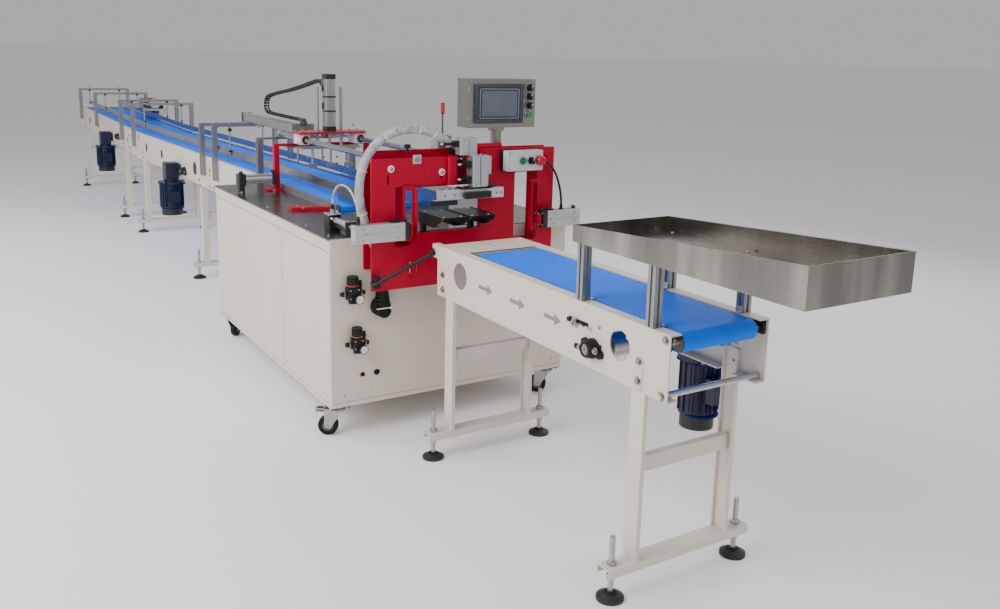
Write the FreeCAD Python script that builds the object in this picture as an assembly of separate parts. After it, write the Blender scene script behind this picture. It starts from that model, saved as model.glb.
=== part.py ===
import FreeCAD
import Part
import math
import os

# Millimetres. The origin is on the floor at the cabinet's outlet face, x runs
# along the product flow and y across it, away from the drive side.

# Cabinet and its table
table_length = 1541.0
cabinet_width = 1093.0
cabinet_bottom = 128.0
table_height = 800.0
table_sheet = 3.0
table_lip = 5.0
corner_radius = 8.0
seam_drop = 50.0
seam_depth = 1.5
seam_width = 3.0
panel_split = 610.0
panel_margin = 18.0
grommet_radius = 10.0
grommet_drop = 550.0
grommet_inset = 130.0
grommet_pitch = 60.0
reach_through = 5.0

# Castors
castor_inset_x = 48.0
castor_inset_y = 48.0
castor_plate = 90.0
castor_plate_thickness = 4.0
castor_wheel_radius = 40.0
castor_wheel_width = 26.0
castor_trail = 38.0
castor_fork_gap = 5.0
castor_fork_sheet = 4.0
castor_pin_radius = 5.0
castor_pin_gap = 0.5
castor_head_radius = 24.0
castor_head_height = 14.0
castor_head_flare = 6.0
castor_crown = 6.0
castor_crown_drop = 12.0
castor_crown_tail = 14.0
castor_seat_gap = 0.3
castor_collar = 6.0
castor_tread_round = 5.0
brake_length = 36.0
brake_width = 26.0
castor_headings = (60.0, 50.0, -43.0, 0.0)

# Infeed conveyor: two straight sections that meet at a low joint
lane_mid = 475.0
infeed_width = 440.0
plate_sheet = 4.0
plate_height = 200.0
plate_flange = 22.0
infeed_rise = 30.0
infeed_sag = 38.0
table_gap = 4.0
near_section = 3190.0
joint_gap = 45.0
far_section = 2965.0
joint_plate_length = 200.0
joint_plate_sheet = 5.0
joint_plate_top = 60.0
joint_plate_drop = 8.0
belt_sheet = 3.0
belt_drop = 8.0
belt_side_gap = 6.0
belt_end_gap = 4.0
roller_radius = 30.0
roller_gap = 0.2
roller_overhang = 2.0
shaft_radius = 10.0
access_radius = 12.0
access_offsets = (1060.0, 2400.0, 2930.0, 3690.0, 5165.0, 5670.0)
window_offset = 1440.0
window_radius = 40.0

# Leg frames and levelling feet
leg_offsets = (1320.0, 3080.0, 3860.0, 5970.0)
leg_web = 50.0
leg_depth = 38.0
leg_sheet = 4.0
leg_overlap = 30.0
brace_width = 24.0
brace_drop = 415.0
brace_height = 46.0
foot_bar_top = 104.0
foot_bar_height = 26.0
foot_overhang = 62.0
foot_inset = 36.0
pad_radius = 40.0
pad_rim = 9.0
pad_height = 22.0
pad_neck = 15.0
stud_radius = 8.0
stud_height = 168.0
nut_radius = 13.0
nut_height = 13.0

# Cross bars on profile posts, with the guide rails under them
profile = 30.0
profile_groove = 8.0
gate_offsets = (880.0, 1170.0, 3330.0, 3850.0, 5150.0, 6090.0)
post_drop = 120.0
post_rise = 175.0
cross_bar = 20.0
rail_height = 38.0
rail_sheet = 6.0
rail_rise = 30.0
rail_inset = 80.0
rail_end_inset = 60.0
hanger_radius = 5.0
hanger_overlap = 4.0
hanger_reach = 16.0
hanger_block = 22.0
hanger_height = 190.0

# Gearmotors and flange bearings
motor_offsets = (1850.0, 4430.0)
motor_drop = 150.0
motor_length = 312.0
motor_radius = 76.0
motor_stand = 62.0
gearbox_length = 104.0
gearbox_width = 90.0
gearbox_top = 48.0
gearbox_depth = 110.0
gearbox_round = 10.0
gearbox_seat = 36.0
motor_neck = 48.0
motor_neck_height = 18.0
motor_flange_rim = 12.0
motor_flange = 15.0
cowl_height = 45.0
cowl_step = 6.0
fin_count = 12
fin_width = 4.0
fin_depth = 5.0
terminal_depth = 34.0
terminal_width = 64.0
terminal_height = 80.0
terminal_drop = 140.0
bearing_offsets = (1705.0, 4110.0)
bearing_drops = (150.0, 118.0)
bearing_radius = 30.0
bearing_ear = 13.0
bearing_pitch = 72.0
bearing_lift = 10.0
bearing_sheet = 10.0
bearing_web = 36.0
bearing_dome = 24.0
bearing_shaft = 32.0

# Lane divider at the far end
divider_offset = 4700.0
divider_shelf_rise = 76.0
divider_sheet = 12.0
divider_length = 560.0
divider_reach = 130.0
divider_outer = 60.0
divider_leg = 14.0
divider_housing_length = 170.0
divider_housing_width = 140.0
divider_housing_height = 80.0
divider_motor_length = 170.0
divider_motor_radius = 42.0
divider_ring = 5.0
divider_ring_count = 5
divider_ring_width = 8.0
divider_cover_length = 108.0
divider_cover_width = 100.0
divider_cover_height = 66.0
divider_round = 12.0

# Lane on the table
lane_bar_width = 16.0
lane_bar_height = 30.0
lane_bed_inset = 22.0
lane_belt_rise = 22.0
lane_belt_end = 560.0
lane_belt_round = 9.0
wall_length = 524.0
wall_end_gap = 200.0
wall_rise = 105.0
wall_sheet = 5.0
wall_foot = 40.0
wall_foot_length = 300.0
wall_lift = 23.0

# Gantry over the table
gantry_rise = 260.0
gantry_half = 144.0
gantry_rod_radius = 12.5
gantry_inset = 41.0
gantry_overhang = 20.0
stand_half = 255.0
stand_bar_drop = 28.0
stand_bar = 10.0
stand_block_half = 24.0
stand_block_length = 40.0
stand_block_rise = 20.0
push_barrel = 50.0
push_barrel_length = 1000.0
push_barrel_gap = 60.0
push_barrel_rise = 12.0
push_cap_length = 30.0
push_cap_rim = 4.0
push_groove = 6.0
push_groove_height = 12.0
push_wall = 12.0
push_bore_gap = 1.0
push_rod_radius = 8.0
push_rod_reach = 900.0
bracket_half = 60.0
bracket_sheet = 12.0
bracket_floor = 8.0
bracket_rise = 44.0
carriage_offset = 320.0
carriage_plate_width = 352.0
carriage_plate_length = 110.0
carriage_plate_thickness = 10.0
carriage_plate_gap = 2.0
carriage_round = 10.0
bearing_block = 50.0
bearing_block_length = 84.0
bearing_cap = 5.0
bearing_cap_radius = 20.0
bearing_gap = 0.5
lug_length = 20.0
lug_offset = 20.0
lug_width = 60.0
lug_drop = 14.0
lift_barrel = 54.0
lift_length = 279.0
lift_cap = 24.0
lift_step = 2.0
lift_groove = 8.0
lift_groove_depth = 3.0
lift_cap_round = 5.0
lift_band_height = 8.0
lift_band_rises = (95.0, 165.0)
lift_bore = 9.0
lift_top_wall = 30.0
lift_guide_half = 62.0
lift_guide_radius = 8.0
lift_guide_gap = 0.6
lift_guide_rise = 215.0
lift_rod_radius = 7.0
lift_rod_gap = 7.0
lift_rod_rise = 100.0
pusher_drop = 40.0
pusher_bar_width = 320.0
pusher_bar_length = 60.0
pusher_bar_sheet = 8.0
finger_length = 80.0
finger_radius = 6.0
finger_pitch = 95.0
finger_offset = 14.0
pad_block = 16.0
pad_block_width = 44.0
pad_block_height = 22.0
chain_width = 28.0
chain_thickness = 16.0
chain_rise = 64.0
chain_clearance = 0.3
chain_arm_reach = 39.0
chain_arm_width = 32.0
chain_arm_rise = 246.0
chain_arm_sheet = 6.5
chain_return = 560.0

# Red portal, hold-down rods and stop cylinder
portal_offset = 220.0
portal_bar = 26.0
portal_gap = 22.0
portal_rise = 230.0
portal_top = 12.0
portal_foot_length = 65.0
portal_foot_offset = 35.0
portal_foot_reach = 60.0
portal_foot_sheet = 8.0
hold_bar_half = 190.0
hold_bar_length = 54.0
hold_bar_offset = 30.0
hold_bar_sheet = 8.0
hold_rod_radius = 5.0
hold_rod_pitch = 130.0
hold_rod_rise = 132.0
stop_rise = 62.0
stop_offset = 10.0
stop_radius = 24.0
stop_start = 34.0
stop_cap_length = 36.0
stop_cap_half = 28.0
stop_head_length = 20.0
stop_round = 6.0
port_radius = 9.0
port_rise = 12.0
stop_foot_width = 24.0
stop_foot_length = 40.0

# Red bar, corner cylinder and guard strip on the table
table_bar_far = 705.0
table_bar_width = 45.0
table_bar_skew = 50.0
table_bar_left = 92.0
table_bar_length = 158.0
table_bar_height = 14.0
corner_offset = 205.0
corner_inset = 98.0
corner_block = 52.0
corner_height = 58.0
corner_port_radii = (10.0, 6.0)
corner_port_rises = (20.0, 14.0)
corner_port_pitch = 14.0
corner_rod_rises = (38.0, 16.0)
corner_rod_radii = (8.0, 6.0)
corner_plate_sheet = 6.0
corner_plate_width = 60.0
corner_plate_height = 62.0
guard_gap = 40.0
guard_sheet = 4.0
guard_far = 1160.0
guard_step = 160.0
guard_near = 820.0
guard_rises = (148.0, 158.0, 190.0, 200.0, 240.0, 230.0, 192.0, 185.0)
guard_post_width = 20.0
guard_post_sheet = 12.0
guard_post_rises = (175.0, 215.0)

# Red bagging frame: rear plate on the cabinet, front plate on spacers
frame_left_reach = 338.0
frame_right_reach = 482.0
frame_sheet = 8.0
frame_seat_gap = 0.3
front_plate_gap = 72.0
front_plate_drop = 200.0
front_plate_rise = 302.0
solid_rise = 326.0
rear_plate_drop = 128.0
plate_edge_round = 7.0
mouth_left_reach = 239.0
mouth_right_reach = 129.0
mouth_low_rise = 12.0
mouth_high_rise = 194.0
mouth_step_reach = 175.0
mouth_step_drop = 34.0
rear_mouth_left_reach = 175.0
rear_mouth_right_reach = 165.0
notch_reach = 22.0
notch_step_reach = 51.0
window_left_reach = 292.0
window_right_reach = 401.0
window_low_drop = 55.0
window_high_rise = 228.0
bolt_slot_width = 7.0
bolt_slot_length = 34.0
arm_lip_width = 40.0
arm_lip_depth = 18.0
arm_lip_round = 8.0
arm_side_depth = 50.0
arm_side_sheet = 8.0
lean_width = 190.0
lean_reach = 85.0
lean_rise = 14.0
lean_overlap = 3.0
spacer_radius = 12.0
spacer_rows = (-100.0, 278.0)

# Side clamps
clamp_rise = 34.0
clamp_body_height = 68.0
clamp_body_depth = 42.0
clamp_body_gap = 15.5
clamp_end = 20.0
clamp_groove = 1.5
clamp_screw_radius = 3.5
clamp_screw_half = 20.0
clamp_round = 3.0
left_clamp_outer_reach = 426.0
left_clamp_inner_reach = 206.0
right_clamp_inner_reach = 402.0
right_clamp_outer_reach = 586.0
clamp_port_inset = 20.0
clamp_port_rise = 12.0
clamp_port_radius = 7.0
clamp_bracket_height = 60.0
clamp_bracket_width = 66.0
clamp_frame_width = 52.0
clamp_frame_gap = 5.0
clamp_frame_sheet = 5.0
clamp_frame_drop = 14.0
clamp_frame_rise = 198.0
clamp_frame_overlap = 7.0
clamp_rail = 12.0
clamp_slit_low = 30.0
clamp_slit_high = 16.0
clamp_jaw_depth = 22.0
clamp_jaw_drop = 10.0
clamp_pin_radius = 6.0
clamp_pin_gap = 0.6
clamp_pin_half = 12.0
clamp_pin_length = 60.0
clamp_yoke = 8.0
clamp_bore_length = 110.0

# Head above the mouth
head_mid_reach = 91.0
head_gap = 24.0
head_depth = 46.0
head_width = 70.0
head_low_rise = 188.0
head_high_rise = 309.0
head_round = 4.0
head_groove = 8.0
head_groove_depth = 2.0
head_guide_half = 22.0
head_guide_radius = 6.0
head_guide_gap = 0.6
head_guide_length = 45.0
head_bore_length = 90.0
head_arm_left = 40.0
head_arm_right = 74.0
head_arm_low_rise = 230.0
head_arm_height = 70.0
head_arm_sheet = 8.0
upper_cylinder_left = 74.0
upper_cylinder_width = 76.0
upper_cylinder_depth = 42.0
upper_cylinder_back = 30.0
upper_cylinder_height = 65.0
head_bar_rise = 142.0
head_bar_height = 40.0
head_bar_depth = 40.0
head_bar_offset = 4.0
head_bar_left_reach = 80.0
head_bar_right_reach = 197.0
head_jaw_left_reach = 13.0
head_jaw_right_reach = 129.0
head_jaw_depth = 22.0
head_jaw_height = 22.0
head_jaw_lift = 8.0
head_foot_left_reach = 109.0
head_foot_right_reach = 5.0
head_foot_depth = 24.0
head_foot_height = 20.0

# Bag former in the mouth
former_left_reach = 113.0
former_right_reach = 126.0
former_start = 20.0
former_end = 205.0
former_low_rise = 42.0
former_high_rise = 86.0
former_sheet = 3.0
former_gap = 6.0
former_shelf = 26.0
former_nose = 60.0
former_nose_top = 12.0
former_post_width = 18.0
former_post_depth = 24.0
former_post_inset = 4.0
former_post_drop = 58.0

# Valve block with its indicator rod
valve_depth = 58.0
valve_left_reach = 23.0
valve_right_reach = 45.0
valve_low = 26.0
valve_high = 46.0
valve_neck_drop = 56.0
valve_neck_margin = 8.0
indicator_radius = 3.5
indicator_tip_radius = 8.0
indicator_length = 130.0
indicator_tip_length = 40.0
indicator_setback = 14.0

# Outfeed conveyor
outfeed_offset = 40.0
outfeed_width = 366.0
outfeed_start = 240.0
outfeed_length = 1271.0
outfeed_drop = 6.0
outfeed_plate = 187.0
cover_length = 160.0
cover_sheet = 3.0
outfeed_belt_gap = 12.0
outfeed_belt_drop = 1.0
outfeed_belt_overhang = 4.0
nose_radius = 26.0
nose_shaft_radius = 8.0
drive_offset = 954.0
drive_drop = 129.0
drive_radius = 36.0
outfeed_motor_length = 320.0
outfeed_motor_radius = 60.0
outfeed_window_offsets = (170.0, 1069.0)
outfeed_window_radii = (48.0, 44.0)
outfeed_window_drop = 82.0
outfeed_slot_offset = 836.0
outfeed_slot_length = 90.0
outfeed_slot_height = 16.0
outfeed_slot_drop = 72.0
outfeed_leg_offsets = (88.0, 1152.0)
outfeed_leg_web = 56.0
outfeed_leg_depth = 14.0
leg_notch_gap = 1.0
outfeed_foot_overhang = 90.0
outfeed_flange = 38.0
outfeed_leg_overlap = 70.0
outfeed_foot_inset = 33.0
outfeed_brace_drop = 432.0
tie_rod_radius = 8.0
tie_rod_inset = 22.0
tie_rod_overhang = 12.0
tie_rod_rise = 15.0
stay_radius = 8.0
stay_setback = 24.0
stay_lug_width = 20.0
stay_lug_height = 42.0
stay_low_left = 9.0
stay_low_drop = 172.0
stay_block_length = 40.0
stay_block_width = 28.0
stay_block_height = 50.0

# Tray on profile posts above the outfeed belt
tray_offset = 836.0
tray_length = 851.0
tray_width = 374.0
tray_rise = 170.0
tray_far_wall = 49.0
tray_near_wall = 101.0
tray_sheet = 2.0
tray_post_offset = 38.0
tray_post_pitch = 311.0

# Operator panel on its post
panel_width = 310.0
panel_height = 195.0
panel_depth = 100.0
panel_reach = 278.0
panel_rise = 401.0
panel_round = 3.0
panel_post_radius = 22.0
panel_foot_radius = 45.0
panel_foot_height = 8.0
screen_width = 226.0
screen_height = 158.0
screen_depth = 9.0
screen_left = 20.0
screen_low = 18.0
screen_round = 6.0
knob_inset = 32.0
knob_top = 34.0
knob_pitch = 36.0
knob_count = 3
knob_radius = 14.0
knob_step = 2.5
knob_base = 5.0
knob_depth = 22.0
grip_width = 9.0
grip_height = 23.0
button_depth = 12.0

# Control box with its buttons
control_reach = 219.0
control_width = 168.0
control_rise = 240.0
control_height = 80.0
control_depth = 58.0
control_round = 4.0
button_pitch = 39.0
first_button = 70.0
button_radius = 14.0
stop_stem_radius = 11.0
stop_stem = 14.0
stop_head_radius = 20.0
stop_head_depth = 14.0

# Air regulators and the cable boot on the outlet face
regulator_insets = (82.0, 100.0)
regulator_drops = (210.0, 412.0)
regulator_sizes = (46.0, 42.0)
regulator_seat = 6.0
regulator_round = 6.0
regulator_neck = 10.0
regulator_knob = 34.0
regulator_bowl = 16.0
regulator_port_radius = 9.0
regulator_port_reach = 26.0
dial_radius = 18.0
dial_depth = 14.0
dial_offset = 14.0
dial_drop = 18.0
boot_inset = 205.0
boot_drop = 280.0
boot_radius = 38.0
boot_base = 26.0
boot_neck = 18.0
boot_rise = 80.0
boot_pipe_radius = 19.0
boot_setback = 36.0

# Air lines and cable, along points chosen by eye
bundle_radius = 17.0
cable_radius = 4.5
tube_radius = 4.0
cord_gap = 0.3
manifold_length = 36.0
manifold_width = 36.0
bundle_gap = 14.0
manifold_height = 44.0


def box(x0, x1, y0, y1, z0, z1):
    corner = FreeCAD.Vector(min(x0, x1), min(y0, y1), min(z0, z1))
    return Part.makeBox(abs(x1 - x0), abs(y1 - y0), abs(z1 - z0), corner)


def rod(start, end, radius):
    a = FreeCAD.Vector(*start)
    b = FreeCAD.Vector(*end)
    return Part.makeCylinder(radius, a.distanceToPoint(b), a, b.sub(a))


def cone(start, end, radius0, radius1):
    a = FreeCAD.Vector(*start)
    b = FreeCAD.Vector(*end)
    return Part.makeCone(radius0, radius1, a.distanceToPoint(b), a, b.sub(a))


def prism(points, direction):
    vectors = [FreeCAD.Vector(*p) for p in points]
    vectors.append(vectors[0])
    return Part.Face(Part.makePolygon(vectors)).extrude(FreeCAD.Vector(*direction))


def fuse(shapes):
    result = shapes[0]
    if len(shapes) > 1:
        result = shapes[0].multiFuse(shapes[1:])
    return result.removeSplitter()


def group(shapes):
    return Part.makeCompound(shapes)


def rounded(shape, radius, test):
    edges = [e for e in shape.Edges if test(e)]
    return shape.makeFillet(radius, edges)


def upright(edge):
    span = edge.BoundBox
    return max(span.XLength, span.YLength) < 0.01


def along_x(edge):
    span = edge.BoundBox
    return max(span.ZLength, span.YLength) < 0.01


def along_y(edge):
    span = edge.BoundBox
    return max(span.ZLength, span.XLength) < 0.01


def profile_post(x, y, z0, z1):
    """Square profile post with a groove along each side."""
    half = profile / 2.0
    depth = profile_groove / 2.0
    body = box(x - half, x + half, y - half, y + half, z0, z1)
    for sx, sy in ((1, 0), (-1, 0), (0, 1), (0, -1)):
        cx = x + sx * half
        cy = y + sy * half
        groove = box(cx - depth, cx + depth, cy - depth, cy + depth, z0 - 1.0, z1 + 1.0)
        body = body.cut(groove)
    return body


def belt_loop(x0, x1, y0, y1, top, radius):
    """Closed loop with flat runs, its upper face at top."""
    z = top - radius - belt_sheet
    a = x0 + radius + belt_sheet
    b = x1 - radius - belt_sheet

    def stadium(r, y_a, y_b):
        flat = box(a, b, y_a, y_b, z - r, z + r)
        ends = [rod((x, y_a, z), (x, y_b, z), r) for x in (a, b)]
        return flat.multiFuse(ends).removeSplitter()

    return stadium(radius + belt_sheet, y0, y1).cut(stadium(radius, y0 - 1.0, y1 + 1.0))


def side_plate(x0, x1, y, inward, top, height, flange):
    """Folded side plate; y is its outer face and inward is +1 or -1."""
    inner = y + inward * plate_sheet
    edge = y + inward * flange
    web = box(x0, x1, y, inner, top - height, top)
    upper = box(x0, x1, y, edge, top - plate_sheet, top)
    lower = box(x0, x1, y, edge, top - height, top - height + plate_sheet)
    return fuse([web, upper, lower])


def tilt(shape, x0, z0, x1, z1):
    """Turn a section built level at z0 so that its end at x1 stands at z1."""
    angle = -math.degrees(math.atan2(z1 - z0, x1 - x0))
    turned = shape.copy()
    turned.rotate(FreeCAD.Vector(x0, 0, z0), FreeCAD.Vector(0, 1, 0), angle)
    return turned


def level_at(x):
    """Height of the infeed's upper edge at x."""
    if x < infeed_joint_near:
        share = (x - infeed_far_end) / (infeed_joint_near - infeed_far_end)
        return infeed_level - share * infeed_sag
    share = (x - infeed_joint_near) / near_section
    return infeed_level - (1.0 - share) * infeed_sag


def cord_tube(name, points, radius):
    """Round tube along straight runs that meet in tangent arcs."""
    vectors = [FreeCAD.Vector(*p) for p in points]
    edges = []
    bends = []
    start = vectors[0]
    for before, corner, after in zip(vectors, vectors[1:], vectors[2:]):
        into = corner.sub(before)
        out = after.sub(corner)
        turn = into.getAngle(out)
        setback = 0.45 * min(into.Length, out.Length)
        bends.append(setback / math.tan(turn / 2.0))
        into.normalize()
        out.normalize()
        first = corner.sub(into * setback)
        last = corner.add(out * setback)
        inward = out.sub(into)
        inward.normalize()
        rise = bends[-1] / math.cos(turn / 2.0) - bends[-1]
        middle = corner.add(inward * rise)
        edges.append(Part.LineSegment(start, first).toShape())
        edges.append(Part.Arc(first, middle, last).toShape())
        start = last
    edges.append(Part.LineSegment(start, vectors[-1]).toShape())
    path = Part.Wire(edges)
    direction = vectors[1].sub(vectors[0])
    section = Part.Wire([Part.makeCircle(radius, vectors[0], direction)])
    tube = path.makePipeShell([section], True, False)
    share = tube.Volume / (math.pi * radius ** 2 * path.Length)
    print("cord", name, round(path.Length), "long, bends", [round(b) for b in bends], round(share, 3))
    return tube


# Levels and places that follow from the sizes
infeed_level = table_height + infeed_rise
infeed_near_end = -table_length - table_lip - table_gap
infeed_joint_near = infeed_near_end - near_section
infeed_joint_far = infeed_joint_near - joint_gap
infeed_far_end = infeed_joint_far - far_section
infeed_left = lane_mid - infeed_width / 2.0
infeed_right = lane_mid + infeed_width / 2.0
rail_left = infeed_left + rail_inset
rail_right = infeed_right - rail_inset
lane_belt_level = table_height + lane_belt_rise
gantry_level = table_height + gantry_rise
gantry_far = -table_length + gantry_inset
front_x = front_plate_gap
front_face = front_x + frame_sheet
outfeed_mid = lane_mid + outfeed_offset
outfeed_left = outfeed_mid - outfeed_width / 2.0
outfeed_right = outfeed_mid + outfeed_width / 2.0
outfeed_top = table_height - outfeed_drop
outfeed_end = outfeed_start + outfeed_length
parts = {}

# Cabinet with panel seams and grommet holes
body = box(-table_length, 0, 0, cabinet_width, cabinet_bottom, table_height - table_sheet)
body = rounded(body, corner_radius, upright)
seam_height = table_height - seam_drop
for side in (0.0, cabinet_width):
    low = side - seam_depth
    high = side + seam_depth
    level = box(-table_length + panel_margin, -panel_margin, low, high, seam_height, seam_height + seam_width)
    split = box(-panel_split, -panel_split + seam_width, low, high, cabinet_bottom + panel_margin,
                seam_height)
    body = body.cut([level, split])
for step in (0, 1):
    y = grommet_inset + step * grommet_pitch
    z = table_height - grommet_drop
    body = body.cut(rod((-reach_through, y, z), (1.0, y, z), grommet_radius))
parts["cabinet_body"] = body
parts["table_top"] = box(-table_length - table_lip, 0, -table_lip, cabinet_width + table_lip,
                         table_height - table_sheet, table_height)


# Castors
def castor_fork(braked):
    """Fork at its home heading, its swivel axis on the z axis."""
    top = cabinet_bottom - castor_plate_thickness - castor_collar - castor_seat_gap
    inside = castor_wheel_width / 2.0 + castor_fork_gap
    outside = inside + castor_fork_sheet
    tail = -castor_trail - castor_crown_tail
    crown_low = top - castor_crown_drop
    crown_high = crown_low + castor_crown
    head = cone((0, 0, top - castor_head_height), (0, 0, top),
                castor_head_radius + castor_head_flare, castor_head_radius)
    crown = box(tail, castor_head_radius, -outside, outside, crown_low, crown_high)
    pieces = [head, crown]
    for side in (-1, 1):
        y = side * inside
        outline = [(castor_head_radius, y, crown_high), (tail, y, crown_high),
                   (tail + 2.0, y, castor_wheel_radius - castor_pin_radius),
                   (-castor_trail + 2.0 * castor_pin_radius, y,
                    castor_wheel_radius - 2.0 * castor_pin_radius)]
        pieces.append(prism(outline, (0, side * castor_fork_sheet, 0)))
    pieces.append(rod((-castor_trail, -outside - 2.0, castor_wheel_radius),
                      (-castor_trail, outside + 2.0, castor_wheel_radius), castor_pin_radius))
    if braked:
        half = brake_width / 2.0
        pieces.append(box(tail - brake_length, tail + 2.0, -half, half, crown_low, crown_high))
    return fuse(pieces)


def castor_wheel():
    half = castor_wheel_width / 2.0
    low = (-castor_trail, -half, castor_wheel_radius)
    high = (-castor_trail, half, castor_wheel_radius)
    wheel = rod(low, high, castor_wheel_radius)
    rims = [e for e in wheel.Edges if e.Length > 4.0 * castor_wheel_radius]
    wheel = wheel.makeFillet(castor_tread_round, rims)
    return wheel.cut(rod(low, high, castor_pin_radius + castor_pin_gap))


def placed(shape, x, y, heading):
    moved = shape.copy()
    moved.rotate(FreeCAD.Vector(0, 0, 0), FreeCAD.Vector(0, 0, 1), heading)
    moved.translate(FreeCAD.Vector(x, y, 0))
    return moved


plates = []
castor_number = 0
for cx in (-castor_inset_x, -table_length + castor_inset_x):
    for cy in (castor_inset_y, cabinet_width - castor_inset_y):
        castor_number = castor_number + 1
        half = castor_plate / 2.0
        low = cabinet_bottom - castor_plate_thickness
        plate = box(cx - half, cx + half, cy - half, cy + half, low, cabinet_bottom)
        collar = rod((cx, cy, low - castor_collar), (cx, cy, low), castor_head_radius)
        plates.append(fuse([plate, collar]))
        heading = castor_headings[castor_number - 1]
        fork = castor_fork(cx > -table_length / 2.0)
        parts["castor_fork_%d" % castor_number] = placed(fork, cx, cy, heading)
        parts["castor_wheel_%d" % castor_number] = placed(castor_wheel(), cx, cy, heading)
parts["castor_plates"] = group(plates)

# Infeed conveyor
joint_level = infeed_level - infeed_sag
sections = ((infeed_far_end, infeed_joint_far, infeed_level, joint_level),
            (infeed_joint_near, infeed_near_end, joint_level, infeed_level))
window_x = infeed_near_end - window_offset
hole_xs = [infeed_near_end - offset for offset in access_offsets] + [window_x]
left_plates = []
right_plates = []
belts = []
rollers = []
for x0, x1, z0, z1 in sections:
    left = side_plate(x0, x1, infeed_left, 1, z0, plate_height, plate_flange)
    right = side_plate(x0, x1, infeed_right, -1, z0, plate_height, plate_flange)
    hole_z = z0 - plate_height / 2.0
    for x in hole_xs:
        if x0 < x < x1:
            radius = window_radius if x == window_x else access_radius
            hole = rod((x, infeed_left - reach_through, hole_z), (x, infeed_right + reach_through, hole_z),
                       radius)
            left = left.cut(hole)
            right = right.cut(hole)
    left_plates.append(tilt(left, x0, z0, x1, z1))
    right_plates.append(tilt(right, x0, z0, x1, z1))
    y0 = infeed_left + plate_sheet
    y1 = infeed_right - plate_sheet
    belt_y0 = y0 + belt_side_gap
    belt_y1 = y1 - belt_side_gap
    belt = belt_loop(x0 + belt_end_gap, x1 - belt_end_gap, belt_y0, belt_y1, z0 - belt_drop, roller_radius)
    belts.append(tilt(belt, x0, z0, x1, z1))
    inset = belt_end_gap + roller_radius + belt_sheet
    z = z0 - belt_drop - roller_radius - belt_sheet
    for x in (x0 + inset, x1 - inset):
        drum = rod((x, belt_y0 - roller_overhang, z), (x, belt_y1 + roller_overhang, z),
                   roller_radius - roller_gap)
        shaft = rod((x, y0, z), (x, y1, z), shaft_radius)
        rollers.append(tilt(fuse([drum, shaft]), x0, z0, x1, z1))
joint_x = (infeed_joint_far + infeed_joint_near) / 2.0
for plates, y, outward in ((left_plates, infeed_left, -1), (right_plates, infeed_right, 1)):
    half = joint_plate_length / 2.0
    plates.append(box(joint_x - half, joint_x + half, y, y + outward * joint_plate_sheet,
                      joint_level - plate_height - joint_plate_drop, joint_level - joint_plate_top))
infeed_plates = group([fuse(left_plates), fuse(right_plates)])

# Cream bars and a belt end that carry the lane on over the table
bars = []
for y, inward in ((infeed_left, 1), (infeed_right, -1)):
    bars.append(box(infeed_near_end + table_gap, -lane_belt_end, y, y + inward * lane_bar_width,
                    table_height, table_height + lane_bar_height))
parts["infeed_side_plates"] = group([fuse([infeed_plates] + bars)])
bed = box(infeed_near_end + table_gap, -lane_belt_end, infeed_left + lane_bed_inset,
          infeed_right - lane_bed_inset, table_height, lane_belt_level)
bed = rounded(bed, lane_belt_round, lambda e: along_y(e) and e.BoundBox.ZMin > lane_belt_level - 1.0)
belts.append(bed)


def leg_frame(x, mid, half_width, web, depth, overhang, top_z, brace_z):
    """Two channel legs open inward, a channel brace and a foot bar open below."""
    half = web / 2.0
    reach = half_width + overhang
    brace_far = x - brace_width / 2.0
    brace_near = x + brace_width / 2.0
    brace_top = brace_z + brace_height
    left = mid - half_width
    right = mid + half_width
    pieces = [box(brace_near - leg_sheet, brace_near, left, right, brace_z, brace_top),
              box(brace_far, brace_near, left, right, brace_z, brace_z + leg_sheet),
              box(brace_far, brace_near, left, right, brace_top - leg_sheet, brace_top),
              box(x - half, x + half, mid - reach, mid + reach, foot_bar_top - leg_sheet, foot_bar_top)]
    for side in (-1, 1):
        edge = x + side * half
        inner_edge = edge - side * leg_sheet
        outer = mid + side * half_width
        pieces.append(box(inner_edge, edge, mid - reach, mid + reach, foot_bar_top - foot_bar_height,
                          foot_bar_top))
        pieces.append(box(x - half, x + half, outer - side * leg_sheet, outer, foot_bar_top - leg_sheet,
                          top_z))
        for y, inward in ((left, 1), (right, -1)):
            pieces.append(box(inner_edge, edge, y, y + inward * depth, foot_bar_top - leg_sheet, top_z))
    return fuse(pieces)


def levelling_foot(x, y):
    """Rubber pad under a threaded stud, with a nut under the bar."""
    nut_top = foot_bar_top - leg_sheet
    base = rod((x, y, 0), (x, y, pad_rim), pad_radius)
    dome = cone((x, y, pad_rim), (x, y, pad_height), pad_radius, pad_neck)
    stud = rod((x, y, pad_height), (x, y, pad_height + stud_height), stud_radius)
    nut = rod((x, y, nut_top - nut_height), (x, y, nut_top), nut_radius)
    return fuse([base, dome, stud, nut])


frames = []
feet = []


def stand_on_feet(frame, x, mid, foot_reach, plates):
    """Cut the foot holes and the plates' folds out of a leg frame and add its feet."""
    for side in (-1, 1):
        foot = levelling_foot(x, mid + side * foot_reach)
        frame = frame.cut(foot)
        feet.append(foot)
    frames.append(frame.cut(plates).removeSplitter())


for offset in leg_offsets:
    x = infeed_near_end - offset
    frame = leg_frame(x, lane_mid, infeed_width / 2.0 - plate_sheet, leg_web, leg_depth, foot_overhang,
                      level_at(x) - plate_height + leg_overlap, table_height - brace_drop)
    stand_on_feet(frame, x, lane_mid, infeed_width / 2.0 + foot_overhang - foot_inset, infeed_plates)

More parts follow.
